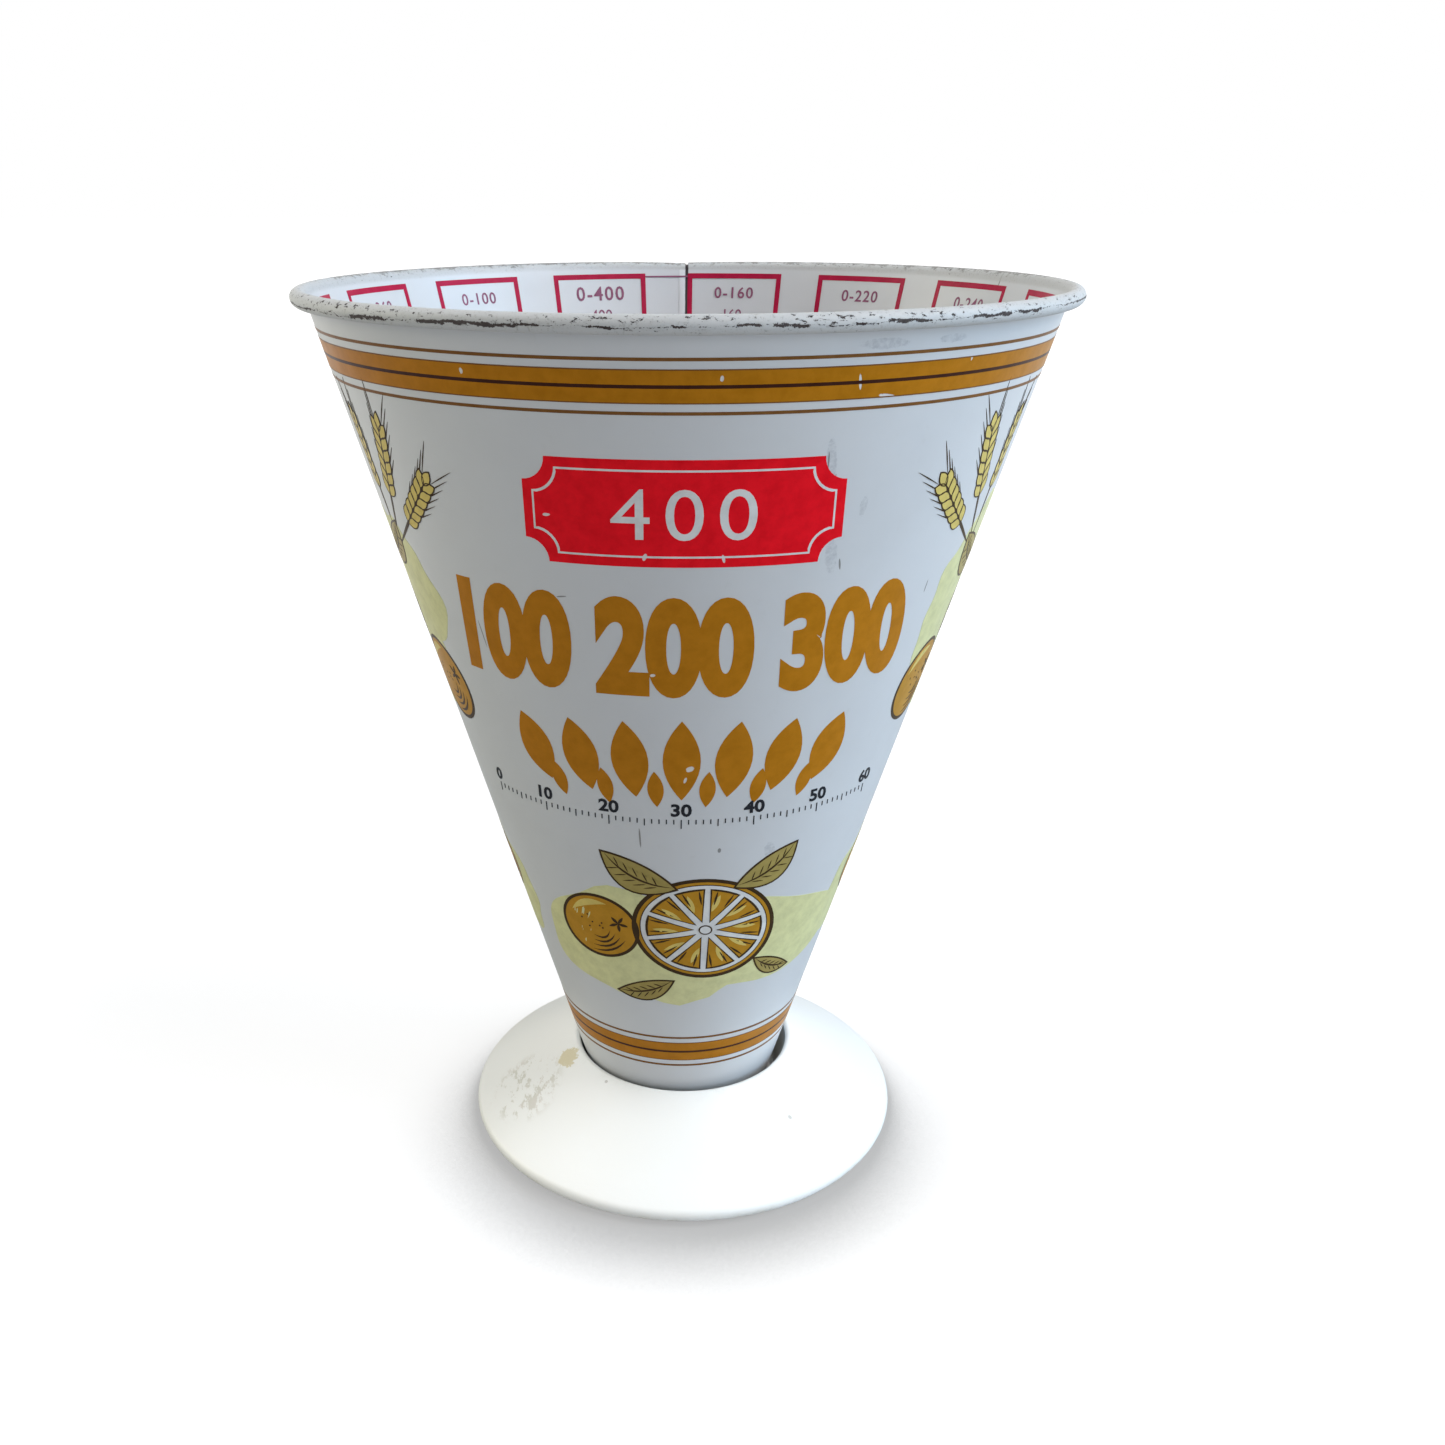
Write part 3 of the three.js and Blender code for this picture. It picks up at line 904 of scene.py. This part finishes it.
inner_top = socket_radius(FOOT_HEIGHT) + SOCKET_WALL / 2
ribs = bmesh.new()
for i in range(RIB_COUNT):
    blade = Pen(spot(socket_radius(RIB_START) + SOCKET_WALL / 2, RIB_START))
    blade.run(spot(ring_middle, RIB_LIFT))
    blade.run(spot(ring_middle, skirt_under(ring_middle) + SKIRT_WALL / 2))
    blade.run(spot(inner_top, skirt_under(inner_top) + SKIRT_WALL / 2))
    blade.bm.edges.new((blade.tip, blade.bm.verts[:][0]))
    bmesh.ops.contextual_create(blade.bm, geom=blade.bm.edges[:])
    grown = bmesh.ops.extrude_face_region(blade.bm, geom=blade.bm.faces[:], use_keep_orig=True)
    moved = [g for g in grown["geom"] if isinstance(g, bmesh.types.BMVert)]
    bmesh.ops.translate(blade.bm, verts=moved, vec=(0, RIB_WALL, 0))
    bmesh.ops.translate(blade.bm, verts=blade.bm.verts[:], vec=(0, -RIB_WALL / 2, 0))
    blade.bm.transform(Matrix.Rotation((i + 0.5) * math.tau / RIB_COUNT, 4, "Z"))
    append(ribs, blade.bm)
bmesh.ops.recalc_face_normals(ribs, faces=ribs.faces[:])


def joined(first, second):
    """The union of two closed bmeshes, through a Boolean modifier."""
    made = []
    for bm in (first, second):
        mesh = bpy.data.meshes.new("joining")
        bm.to_mesh(mesh)
        bm.free()
        made.append(bpy.data.objects.new("joining", mesh))
        scene.collection.objects.link(made[-1])
    union = made[0].modifiers.new("union", "BOOLEAN")
    union.operation = "UNION"
    union.solver = "EXACT"
    union.object = made[1]
    graph = bpy.context.evaluated_depsgraph_get()
    mesh = bpy.data.meshes.new_from_object(made[0].evaluated_get(graph))
    result = bmesh.new()
    result.from_mesh(mesh)
    for part in made:
        bpy.data.objects.remove(part)
    return result


foot = joined(foot, ribs)
bmesh.ops.remove_doubles(foot, verts=foot.verts[:], dist=0.0005)
finish_piece("plastic_foot", foot, plastic, "stand", 32.0, "foot")

# %% [markdown]
# ## How the print is made
# On the real cone the inks lie on the enamel, a few hundredths of a millimetre thick. Painting them
# in the shader would do for a render, but the exported model keeps only a picture of each material,
# and fine lines would blur. So each ink is a thin film of real geometry. It is drawn flat, cut
# into narrow strips so that it can bend, given a thickness, and then wrapped round the cone.

# %% Wrapping a flat drawing
# width of a strip and height of a row
STRIP = 1.2
ROW = 3.0
# where a film's underside lies, how far its lowest face stands proud, and each layer above that
SUNK = -0.03
LIFT = 0.022
LAYER = 0.010


def slice_up(bm, axis, pitch):
    """Cuts a flat mesh into strips across one axis."""
    places = [v.co[axis] for v in bm.verts]
    normal = Vector((1, 0, 0)) if axis == 0 else Vector((0, 1, 0))
    first = math.floor(min(places) / pitch) + 1
    last = math.ceil(max(places) / pitch)
    for i in range(first, last):
        parts = bm.verts[:] + bm.edges[:] + bm.faces[:]
        cut = normal * (i * pitch)
        bmesh.ops.bisect_plane(bm, geom=parts, dist=0.00001, plane_co=cut, plane_no=normal)


def wrap(flat, azimuth, height, outside, reach):
    """Bends a flat film round the cone. X is the way round, Y is up, Z is the lift of its face.

    With a reach, X counts at that radius, so its upright lines follow the cone's own taper.
    """
    bm = flat.copy()
    bmesh.ops.triangulate(bm, faces=bm.faces[:])
    slice_up(bm, 0, STRIP)
    slice_up(bm, 1, ROW)
    for face in bm.faces:
        if face.normal.z < 0:
            face.normal_flip()
    grown = bmesh.ops.extrude_face_region(bm, geom=bm.faces[:], use_keep_orig=True)
    for part in grown["geom"]:
        if isinstance(part, bmesh.types.BMVert):
            part.co.z = SUNK
    bmesh.ops.recalc_face_normals(bm, faces=bm.faces[:])
    side = 1 if outside else -1
    for vert in bm.verts:
        across, z, lift = vert.co.x, vert.co.y + height + PRINT_BASE, vert.co.z
        surface = cone_radius(z, side)
        angle = azimuth + across / (reach or surface)
        bearing = angle if outside else math.pi - angle
        surface -= wave(bearing, z)
        radius = surface + side * lift * math.cos(LEAN)
        z -= side * lift * math.sin(LEAN)
        vert.co = (radius * math.sin(bearing), -radius * math.cos(bearing), z)
    return bm


# %% Shapes for the drawings
def oval(width, height, steps):
    bm = bmesh.new()
    bmesh.ops.create_circle(bm, cap_ends=True, segments=steps, radius=0.5)
    bm.transform(Matrix.Diagonal((width, height, 1, 1)))
    return bm


def leaf(length, width, curve=0.0, steps=36):
    """A shape with a point at each end, along X. Curve bends its middle sideways."""
    bm = oval(length, 1.0, steps)
    for vert in bm.verts:
        t = vert.co.x / (length / 2)
        vert.co.y = vert.co.y * math.sqrt(max(1 - t * t, 0)) * width + curve * (1 - t * t)
    bmesh.ops.remove_doubles(bm, verts=bm.verts[:], dist=0.0001)
    return bm


def bar(width, height):
    bm = bmesh.new()
    bmesh.ops.create_grid(bm, x_segments=1, y_segments=1, size=0.5)
    bm.transform(Matrix.Diagonal((width, height, 1, 1)))
    return bm


def ring(bm, thickness):
    """Leaves only a border of a one-face shape, and returns the rest as a second bmesh."""
    made = bmesh.ops.inset_region(bm, faces=bm.faces[:], thickness=thickness, use_boundary=True)
    border = set(made["faces"])
    inside = bm.copy()
    bm.faces.index_update()
    inside.faces.ensure_lookup_table()
    drop = [inside.faces[f.index] for f in border]
    bmesh.ops.delete(inside, geom=drop, context="FACES")
    bmesh.ops.delete(bm, geom=[f for f in bm.faces if f not in border], context="FACES")
    return inside


# height of the built-in font's figures at size 1, and how far they hang below their line
FIGURE_TALL = 0.70
FIGURE_DROP = 0.005


def figures(text, height, squeeze=1.0, weight=0.0, spacing=1.0, steps=3):
    """Plain figures as a flat mesh, centred, with a height in millimetres."""
    curve = bpy.data.curves.new("figures", "FONT")
    curve.body = text
    curve.offset = weight
    curve.space_character = spacing
    curve.resolution_u = steps
    holder = bpy.data.objects.new("figures", curve)
    scene.collection.objects.link(holder)
    graph = bpy.context.evaluated_depsgraph_get()
    mesh = bpy.data.meshes.new_from_object(holder.evaluated_get(graph))
    bpy.data.objects.remove(holder)
    bm = bmesh.new()
    bm.from_mesh(mesh)
    bpy.data.meshes.remove(mesh)
    xs = [v.co.x for v in bm.verts]
    scale = height / FIGURE_TALL
    middle = Vector((-(min(xs) + max(xs)) / 2, -FIGURE_TALL / 2 + FIGURE_DROP, 0))
    bm.transform(Matrix.Diagonal((scale * squeeze, scale, 1, 1)) @ Matrix.Translation(middle))
    bmesh.ops.remove_doubles(bm, verts=bm.verts[:], dist=0.0001)
    return bm


class Drawing:
    """A flat drawing: one bmesh for each ink, with its layers as heights."""

    def __init__(self):
        self.inks = {}

    def lay(self, ink, shape, layer, place=Matrix.Identity(4)):
        """Moves a shape to its place and layer in the drawing. The shape itself is used up."""
        lifted = Matrix.Translation((0, 0, LIFT + layer * LAYER)) @ place
        append(self.inks.setdefault(ink, bmesh.new()), shape, lifted)

    def inked(self, ink, shape, layer, place, line):
        """A filled shape with a drawn outline."""
        inside = ring(shape, line)
        self.lay("ink", shape, layer + 1, place)
        self.lay(ink, inside, layer, place)


def at(x, y, degrees=0.0):
    return Matrix.Translation((x, y, 0)) @ Matrix.Rotation(math.radians(degrees), 4, "Z")


printed = {}


def print_on(drawing, azimuth=0.0, height=0.0, outside=True, reach=None, prefix=""):
    """Wraps every ink of a drawing and adds it to the films."""
    for ink, flat in drawing.inks.items():
        film = wrap(flat, azimuth, height, outside, reach)
        append(printed.setdefault(prefix + ink, bmesh.new()), film)


# %% [markdown]
# ## Stripes
# Two groups of stripes run round the cone, near the rim and near the toe: a broad ochre band with
# fine dark edges and a dark line along its middle, between two thin brown lines. They are printed on
# the flat sheet before it is rolled, so they stop just short of the seam.

# %% Draw the stripes
STRIPES_AT = (122.1, 17.4)
BAND_HALF = 1.87
OUTER_LINE = 3.02
SEAM_MARGIN = 2.6
for centre in STRIPES_AT:
    stripes = Drawing()
    reach = cone_radius(centre + PRINT_BASE)
    length = 2 * (math.pi - SEAM_MARGIN / reach) * reach
    stripes.lay("band_ochre", bar(length, 2 * BAND_HALF), 1)
    for edge in (-1, 1):
        stripes.lay("line_brown", bar(length, 0.14), 2, at(0, edge * BAND_HALF))
        stripes.lay("line_brown", bar(length, 0.38), 1, at(0, edge * OUTER_LINE))
    stripes.lay("line_dark", bar(length, 0.40), 2)
    print_on(stripes, 0.0, centre, reach=reach)

# %% [markdown]
# ## Front of the print
# The front has a red plaque with a figure in white, a row of large ochre figures for the fillings of
# the measure, a row of leaves and a short rule. The ochre shapes are flat and have no outline.

# %% Plaque and figures
PLAQUE = (39.0, 13.4)
PLAQUE_HEIGHT = 107.0
NOTCH = 3.0
BORDER_INSET = 1.2
BORDER_LINE = 0.34


def ticket(width, height, notch):
    """A rectangle with hollow round corners."""
    path = bmesh.new()
    tip = path.verts.new((width / 2 - notch, height / 2, 0))
    for sx, sy in ((1, 1), (1, -1), (-1, -1), (-1, 1)):
        if sx != 1 or sy != 1:
            tip = bmesh.ops.extrude_vert_indiv(path, verts=[tip])["verts"][0]
            if sx == -sy:
                tip.co = (sx * width / 2, sy * (height / 2 - notch), 0)
            else:
                tip.co = (sx * (width / 2 - notch), sy * height / 2, 0)
        corner = (sx * width / 2, sy * height / 2, 0)
        tip = arc(path, tip, corner, (0, 0, 1), math.radians(90), 8)
    path.edges.new((tip, path.verts[:][0]))
    bmesh.ops.contextual_create(path, geom=path.edges[:])
    bmesh.ops.recalc_face_normals(path, faces=path.faces[:])
    return path


front = Drawing()
front.lay("plaque_red", ticket(*PLAQUE, NOTCH), 1, at(0, PLAQUE_HEIGHT))
border = ticket(PLAQUE[0] - 2 * BORDER_INSET, PLAQUE[1] - 2 * BORDER_INSET, NOTCH)
ring(border, BORDER_LINE).free()
front.lay("white", border, 2, at(0, PLAQUE_HEIGHT))
front.lay("white", figures("400", 6.4, 1.1, 0.0, 1.25, 6), 2, at(0, PLAQUE_HEIGHT))
front.lay("letter_ochre", figures("100 200 300", 12.4, 0.735, 0.052, 1.0, 8), 1, at(0, 89.2))
print_on(front)
print("front inks:", {ink: len(bm.faces) for ink, bm in front.inks.items()})

# %% A row of leaves
LEAF_PITCH = 6.9
LEAF_TURN = 8
garland = Drawing()
for i in range(-3, 4):
    seat = at(LEAF_PITCH * i, 72.2, 90 - LEAF_TURN * i)
    garland.lay("letter_ochre", leaf(12.6 - 0.5 * abs(i), 5.0), 1, seat)
    if i < 3:
        seat = at(LEAF_PITCH * i + LEAF_PITCH / 2, 67.6, 90 - LEAF_TURN * (i + 0.5))
        garland.lay("letter_ochre", leaf(5.8, 2.2), 1, seat)
print_on(garland)

# %% A short rule
RULE_TOP = 62.6
RULE_LENGTH = 60
rule = Drawing()
for i in range(RULE_LENGTH + 1):
    tall = 1.5 if i % 10 == 0 else 1.15 if i % 5 == 0 else 0.75
    rule.lay("rule_black", bar(0.16, tall), 2, at(i - RULE_LENGTH / 2, RULE_TOP - tall / 2))
for i in range(0, RULE_LENGTH + 1, 10):
    figure = figures(str(i), 1.95, 1.05, 0.03)
    rule.lay("rule_black", figure, 2, at(i - RULE_LENGTH / 2, RULE_TOP + 1.6))
print_on(rule)


# %% [markdown]
# ## Fruit, leaves and wheat
# The lower part and the sides carry small ink drawings: a cut fruit, leaves and ears of wheat, with
# dark pen lines, flat ochre and olive tints, and a loose patch of pale yellow behind. Each drawing is
# built from a few stamped shapes, so it can be repeated round the cone at any size and turn.

# %% Drawing functions
SEGMENTS = 10
SQUASH = 0.88
KERNEL_PAIRS = 6


def patch(drawing, x, y, width, height, seed):
    """A loose wash of pale yellow, with an uneven edge."""
    shape = oval(width, height, 72)
    for vert in shape.verts:
        angle = math.atan2(vert.co.y, vert.co.x)
        swell = 1 + 0.10 * math.sin(3 * angle + seed) + 0.07 * math.sin(5 * angle + 2.3 * seed)
        swell += 0.03 * math.sin(11 * angle + seed)
        vert.co *= swell
    drawing.lay("wash_yellow", shape, 0.5, at(x, y))


def wedge(inner, outer, degrees):
    """A slice of a round shape, about the X axis, with its point near the middle."""
    bm = bmesh.new()
    half = math.radians(degrees) / 2
    first = bm.verts.new((outer * math.cos(half), -outer * math.sin(half), 0))
    last = arc(bm, first, (0, 0, 0), (0, 0, 1), 2 * half, 6)
    point = bm.verts.new((inner, 0, 0))
    bm.edges.new((last, point))
    bm.edges.new((point, first))
    bmesh.ops.contextual_create(bm, geom=bm.edges[:])
    return bm


def cut_fruit(drawing, x, y, size, tilt):
    """Half a fruit: rind, white pith, and outlined segments with a few strokes of pulp."""
    place = at(x, y, tilt) @ Matrix.Diagonal((size / 20, size / 20 * SQUASH, 1, 1))
    drawing.inked("fruit_ochre", oval(20, 20, 64), 1, place, 0.62)
    drawing.inked("white", oval(17.8, 17.8, 60), 3, place, 0.15)
    for i in range(SEGMENTS):
        turned = place @ at(0, 0, 360 * (i + 0.3) / SEGMENTS)
        drawing.inked("fruit_ochre", wedge(1.5, 8.1, 360 / SEGMENTS - 5), 5, turned, 0.34)
        drawing.lay("straw", leaf(3.4, 0.8, steps=16), 6.5, turned @ at(5.4, 0.5))
        for side in (-1, 1):
            stroke = leaf(2.8, 0.34, steps=8)
            drawing.lay("ink", stroke, 6.6, turned @ at(6.3, side * 0.95 - 0.1, side * 9))
    drawing.inked("white", oval(1.9, 1.9, 16), 7, place, 0.2)


def whole_fruit(drawing, x, y, size, tilt):
    """An uncut fruit: a flat ochre disc with a light side, a few pores and a small star."""
    place = at(x, y, tilt) @ Matrix.Scale(size / 20, 4)
    drawing.inked("fruit_ochre", oval(20, 18.6, 56), 1, place, 0.8)
    drawing.lay("straw", leaf(10.0, 1.9, 1.5, 28), 3, place @ at(-3.2, 4.4, 34))
    for i in range(4):
        shadow = leaf(9.6 - 1.6 * i, 0.6, -1.5, 20)
        drawing.lay("ink", shadow, 3, place @ at(3.4 - 0.75 * i, -4.7 + 1.0 * i, 40))
    for i in range(7):
        pore = at(2.9 * math.sin(2.4 * i) - 1.6, 0.4 * i * math.cos(2.4 * i) + 0.4)
        drawing.lay("ink", oval(0.5, 0.5, 8), 3, place @ pore)
    for i in range(5):
        point = at(4.6, 2.6, 72 * i) @ at(1.2, 0)
        drawing.lay("ink", leaf(2.4, 0.8, steps=10), 4, place @ point)


def veined_leaf(drawing, x, y, length, tilt, curve):
    place = at(x, y, tilt)
    drawing.inked("olive", leaf(length, length * 0.42, curve), 3, place, 0.28)
    drawing.lay("ink", leaf(length * 0.86, 0.34, curve), 5, place)
    for i in range(-2, 3):
        along = i * length * 0.12
        room = 1 - (2 * along / length) ** 2
        for side in (-1, 1):
            vein = leaf(length * 0.15, 0.2, steps=10)
            aside = curve * room + side * length * 0.068 * room
            drawing.lay("ink", vein, 5, place @ at(along + 0.3, aside, side * 38))


def wheat_ear(drawing, x, y, length, tilt, bend):
    """An ear on its stalk, drawn from its foot along +X: paired kernels with fine awns."""
    place = at(x, y, tilt)
    kernel = length * 0.155

    def on_stalk(along, angle):
        slope = math.degrees(math.atan(2 * bend * along / length ** 2))
        return place @ at(along, bend * (along / length) ** 2, slope + angle)

    stalk = leaf(length, 0.5)
    for vert in stalk.verts:
        vert.co.x += length / 2
        vert.co.y += bend * (vert.co.x / length) ** 2
    drawing.lay("ink", stalk, 2, place)
    for i in range(KERNEL_PAIRS):
        along = length * (0.46 + 0.44 * i / (KERNEL_PAIRS - 1))
        for side in (-1, 1):
            awn = leaf(kernel * 1.7, 0.17, steps=8)
            drawing.lay("ink", awn, 2, on_stalk(along, side * 17) @ at(kernel * 1.75, 0))
            seat = on_stalk(along, side * 27) @ at(kernel * 0.58, 0)
            drawing.inked("straw", leaf(kernel, kernel * 0.52, steps=20), 3 + 0.2 * i, seat, 0.17)
    tip = on_stalk(length * 0.97, 0) @ at(kernel * 0.4, 0)
    drawing.inked("straw", leaf(kernel, kernel * 0.5, steps=20), 4.6, tip, 0.17)


# %% Print the drawings
foot_art = Drawing()
patch(foot_art, 0.0, 38.6, 52.0, 20.0, 1.0)
veined_leaf(foot_art, -6.0, 53.2, 13.0, 152, 1.3)
veined_leaf(foot_art, 12.4, 53.4, 12.0, 34, -1.1)
whole_fruit(foot_art, -12.4, 41.6, 13.0, -10)
cut_fruit(foot_art, 3.6, 42.6, 21.5, -14)
veined_leaf(foot_art, -5.2, 31.0, 9.6, 200, 0.9)
veined_leaf(foot_art, 14.6, 33.8, 8.0, -28, -0.8)
print_on(foot_art)
print("foot art inks:", {ink: len(bm.faces) for ink, bm in foot_art.inks.items()})

for side in (-1, 1):
    corner = Drawing()
    patch(corner, side * 12.0, 90.0, 24.0, 24.0, 2.0 + side)
    for tilt, length, bend in ((2, 18, 1.2), (32, 20, 2.0), (60, 20, 2.2)):
        wheat_ear(corner, side * 8.5, 96.5, length, 90 + side * tilt, side * -bend)
    print_on(corner, side * math.radians(54))

for azimuth in (-84, 84, -142, 142):
    panel = Drawing()
    turn_by = 1 if azimuth > 0 else -1
    patch(panel, 0.0, 84.0, 34.0, 24.0, azimuth / 40)
    veined_leaf(panel, -11.0, 96.0, 13.0, 150, 1.2)
    veined_leaf(panel, 11.5, 97.5, 12.0, 34, -1.2)
    cut_fruit(panel, turn_by * 3.0, 86.0, 22.0, turn_by * 12)
    whole_fruit(panel, -turn_by * 13.0, 77.5, 13.0, -8)
    veined_leaf(panel, turn_by * 9.5, 71.5, 10.0, -30 * turn_by, 0.9)
    patch(panel, 0.0, 43.0, 26.0, 18.0, azimuth / 30)
    whole_fruit(panel, -2.0 * turn_by, 45.5, 12.5, 16)
    veined_leaf(panel, 6.5 * turn_by, 37.5, 9.0, 210, 0.8)
    print_on(panel, math.radians(azimuth))
print("films so far:", sorted(printed))

# %% [markdown]
# ## Scales inside
# The inside of the cone has fourteen red columns, one for each kind of filling. A measure like this
# is read where the filling ends, so the marks are at the true heights for their volume. A frustum's
# volume grows with the cube of its radius, which is turned round to find the height for a volume.
# Each column has its own weight for a millilitre, and so its own figures.

# %% Heights for volumes
INSIDE_FLOOR = cap_floor + SHEET / 2


def height_of(millilitres):
    bottom = cone_radius(INSIDE_FLOOR, -1)
    radius = (bottom ** 3 + 3 * TAPER * millilitres * 1000 / math.pi) ** (1 / 3)
    return (radius - cone_radius(PRINT_BASE, -1)) / TAPER


print("heights in mm:", {ml: round(height_of(ml), 1) for ml in (50, 100, 200, 300, 400)})

# %% Draw the columns
COLUMN_PITCH = 25.66
COLUMN_WIDE = 18.2
COLUMN_TOP = 128.0
COLUMN_FOOT = 37.5
FRAME_LINE = 1.15
FULL = 400
FIRST_COLUMN = 9.5
# grams for a millilitre, and the step between marks, for each column
COLUMNS = (
    (0.40, 20), (0.55, 20), (0.60, 25), (0.95, 50), (0.45, 20), (0.80, 40), (0.65, 25),
    (0.50, 20), (0.85, 40), (0.70, 25), (0.60, 20), (0.90, 50), (0.25, 10), (1.00, 50),
)
inside_reach = cone_radius(COLUMN_TOP + PRINT_BASE, -1)


def column(weight, step, big):
    """One scale: a frame that tapers with the cone, and a mark with its figure at each step."""
    art = Drawing()
    wide = math.radians(COLUMN_WIDE) * inside_reach
    tall = COLUMN_TOP - COLUMN_FOOT
    edge = bar(wide, tall)
    ring(edge, FRAME_LINE).free()
    art.lay("red", edge, 1, at(0, (COLUMN_TOP + COLUMN_FOOT) / 2))
    most = round(FULL * weight)
    heading = figures(f"0-{most}", 2.2 if big else 1.75, 1.05, 0.012, 1.15)
    art.lay("mauve", heading, 1, at(0, COLUMN_TOP - 3.1))
    # the top mark is the full measure, and no mark comes within half a step of it
    values = [most] + list(range(int((most - step * 0.5) // step) * step, 0, -step))
    for value in values:
        z = height_of(value / weight)
        if z < COLUMN_FOOT + 4:
            break
        narrow = cone_radius(z + PRINT_BASE, -1) / inside_reach
        art.lay("mauve", bar(wide - 3.0, 0.3), 1, at(0, z))
        figure = figures(str(value), 1.75 if big else 1.6, 1.0 / narrow, 0.006)
        art.lay("mauve", figure, 1, at(0, z + 1.5))
    if big:
        art.lay("mauve", bar(7.4, 0.24), 1, at(wide / 2 + 3.7, COLUMN_TOP - 0.5))
    return art


for i, (weight, step) in enumerate(COLUMNS):
    middle = math.radians(FIRST_COLUMN + i * COLUMN_PITCH)
    scale = column(weight, step, i == len(COLUMNS) - 1)
    print_on(scale, middle, 0.0, False, inside_reach, "inside_")
print("inside faces:", len(printed["inside_red"].faces))

# %% [markdown]
# ## Inks
# Every ink is a satin, slightly glossy layer with a little unevenness. On three of them, nicks go
# through to the pale enamel.

# %% Make the inks and the films
INKS = {
    "band_ochre": (0.435, 0.165, 0.002),
    "letter_ochre": (0.450, 0.170, 0.003),
    "fruit_ochre": (0.46, 0.225, 0.014),
    "straw": (0.64, 0.50, 0.14),
    "olive": (0.36, 0.28, 0.085),
    "wash_yellow": (0.64, 0.63, 0.33),
    "line_brown": (0.19, 0.080, 0.020),
    "line_dark": (0.042, 0.010, 0.003),
    "ink": (0.046, 0.024, 0.006),
    "rule_black": (0.016, 0.018, 0.024),
    "plaque_red": (0.82, 0.002, 0.012),
    "white": (0.68, 0.685, 0.68),
    "inside_red": (0.42, 0.010, 0.050),
    "inside_mauve": (0.27, 0.10, 0.165),
}
BARE = (0.70, 0.70, 0.69)


def make_ink(name, colour):
    finish = Finish("ink_" + name, colour, 0.38, Specular_IOR_Level=0.08)
    place = ConePlace(finish)
    density = finish.noise(place.where, 0.5, 4.0, 0.65).step(-0.25, 0.3)
    light = tuple(min(c * 1.10 + 0.004, 1.0) for c in colour)
    dark = tuple(c * 0.90 for c in colour)
    shade = finish.mix(density, light, dark)
    relief = finish.noise(place.where, 1.1, 2.0) * 0.1
    rough = 0.34 + finish.noise(place.where, 0.25, 3.0) * 0.14
    if name in NICKS:
        nicks = place.marks(NICKS[name], finish.noise(place.where, 2.2, 3.0, 0.7) * 1.1)
        shade = finish.mix(nicks * 0.92, shade, BARE)
        relief = relief - nicks * 0.5
        rough = rough + nicks * 0.2
    finish.feed("Base Color", shade)
    finish.feed("Roughness", rough)
    finish.bump(relief, 0.06)
    return finish


for name, bm in sorted(printed.items()):
    finish_piece("print_" + name, bm, make_ink(name, INKS[name]), "measure", 30.0)
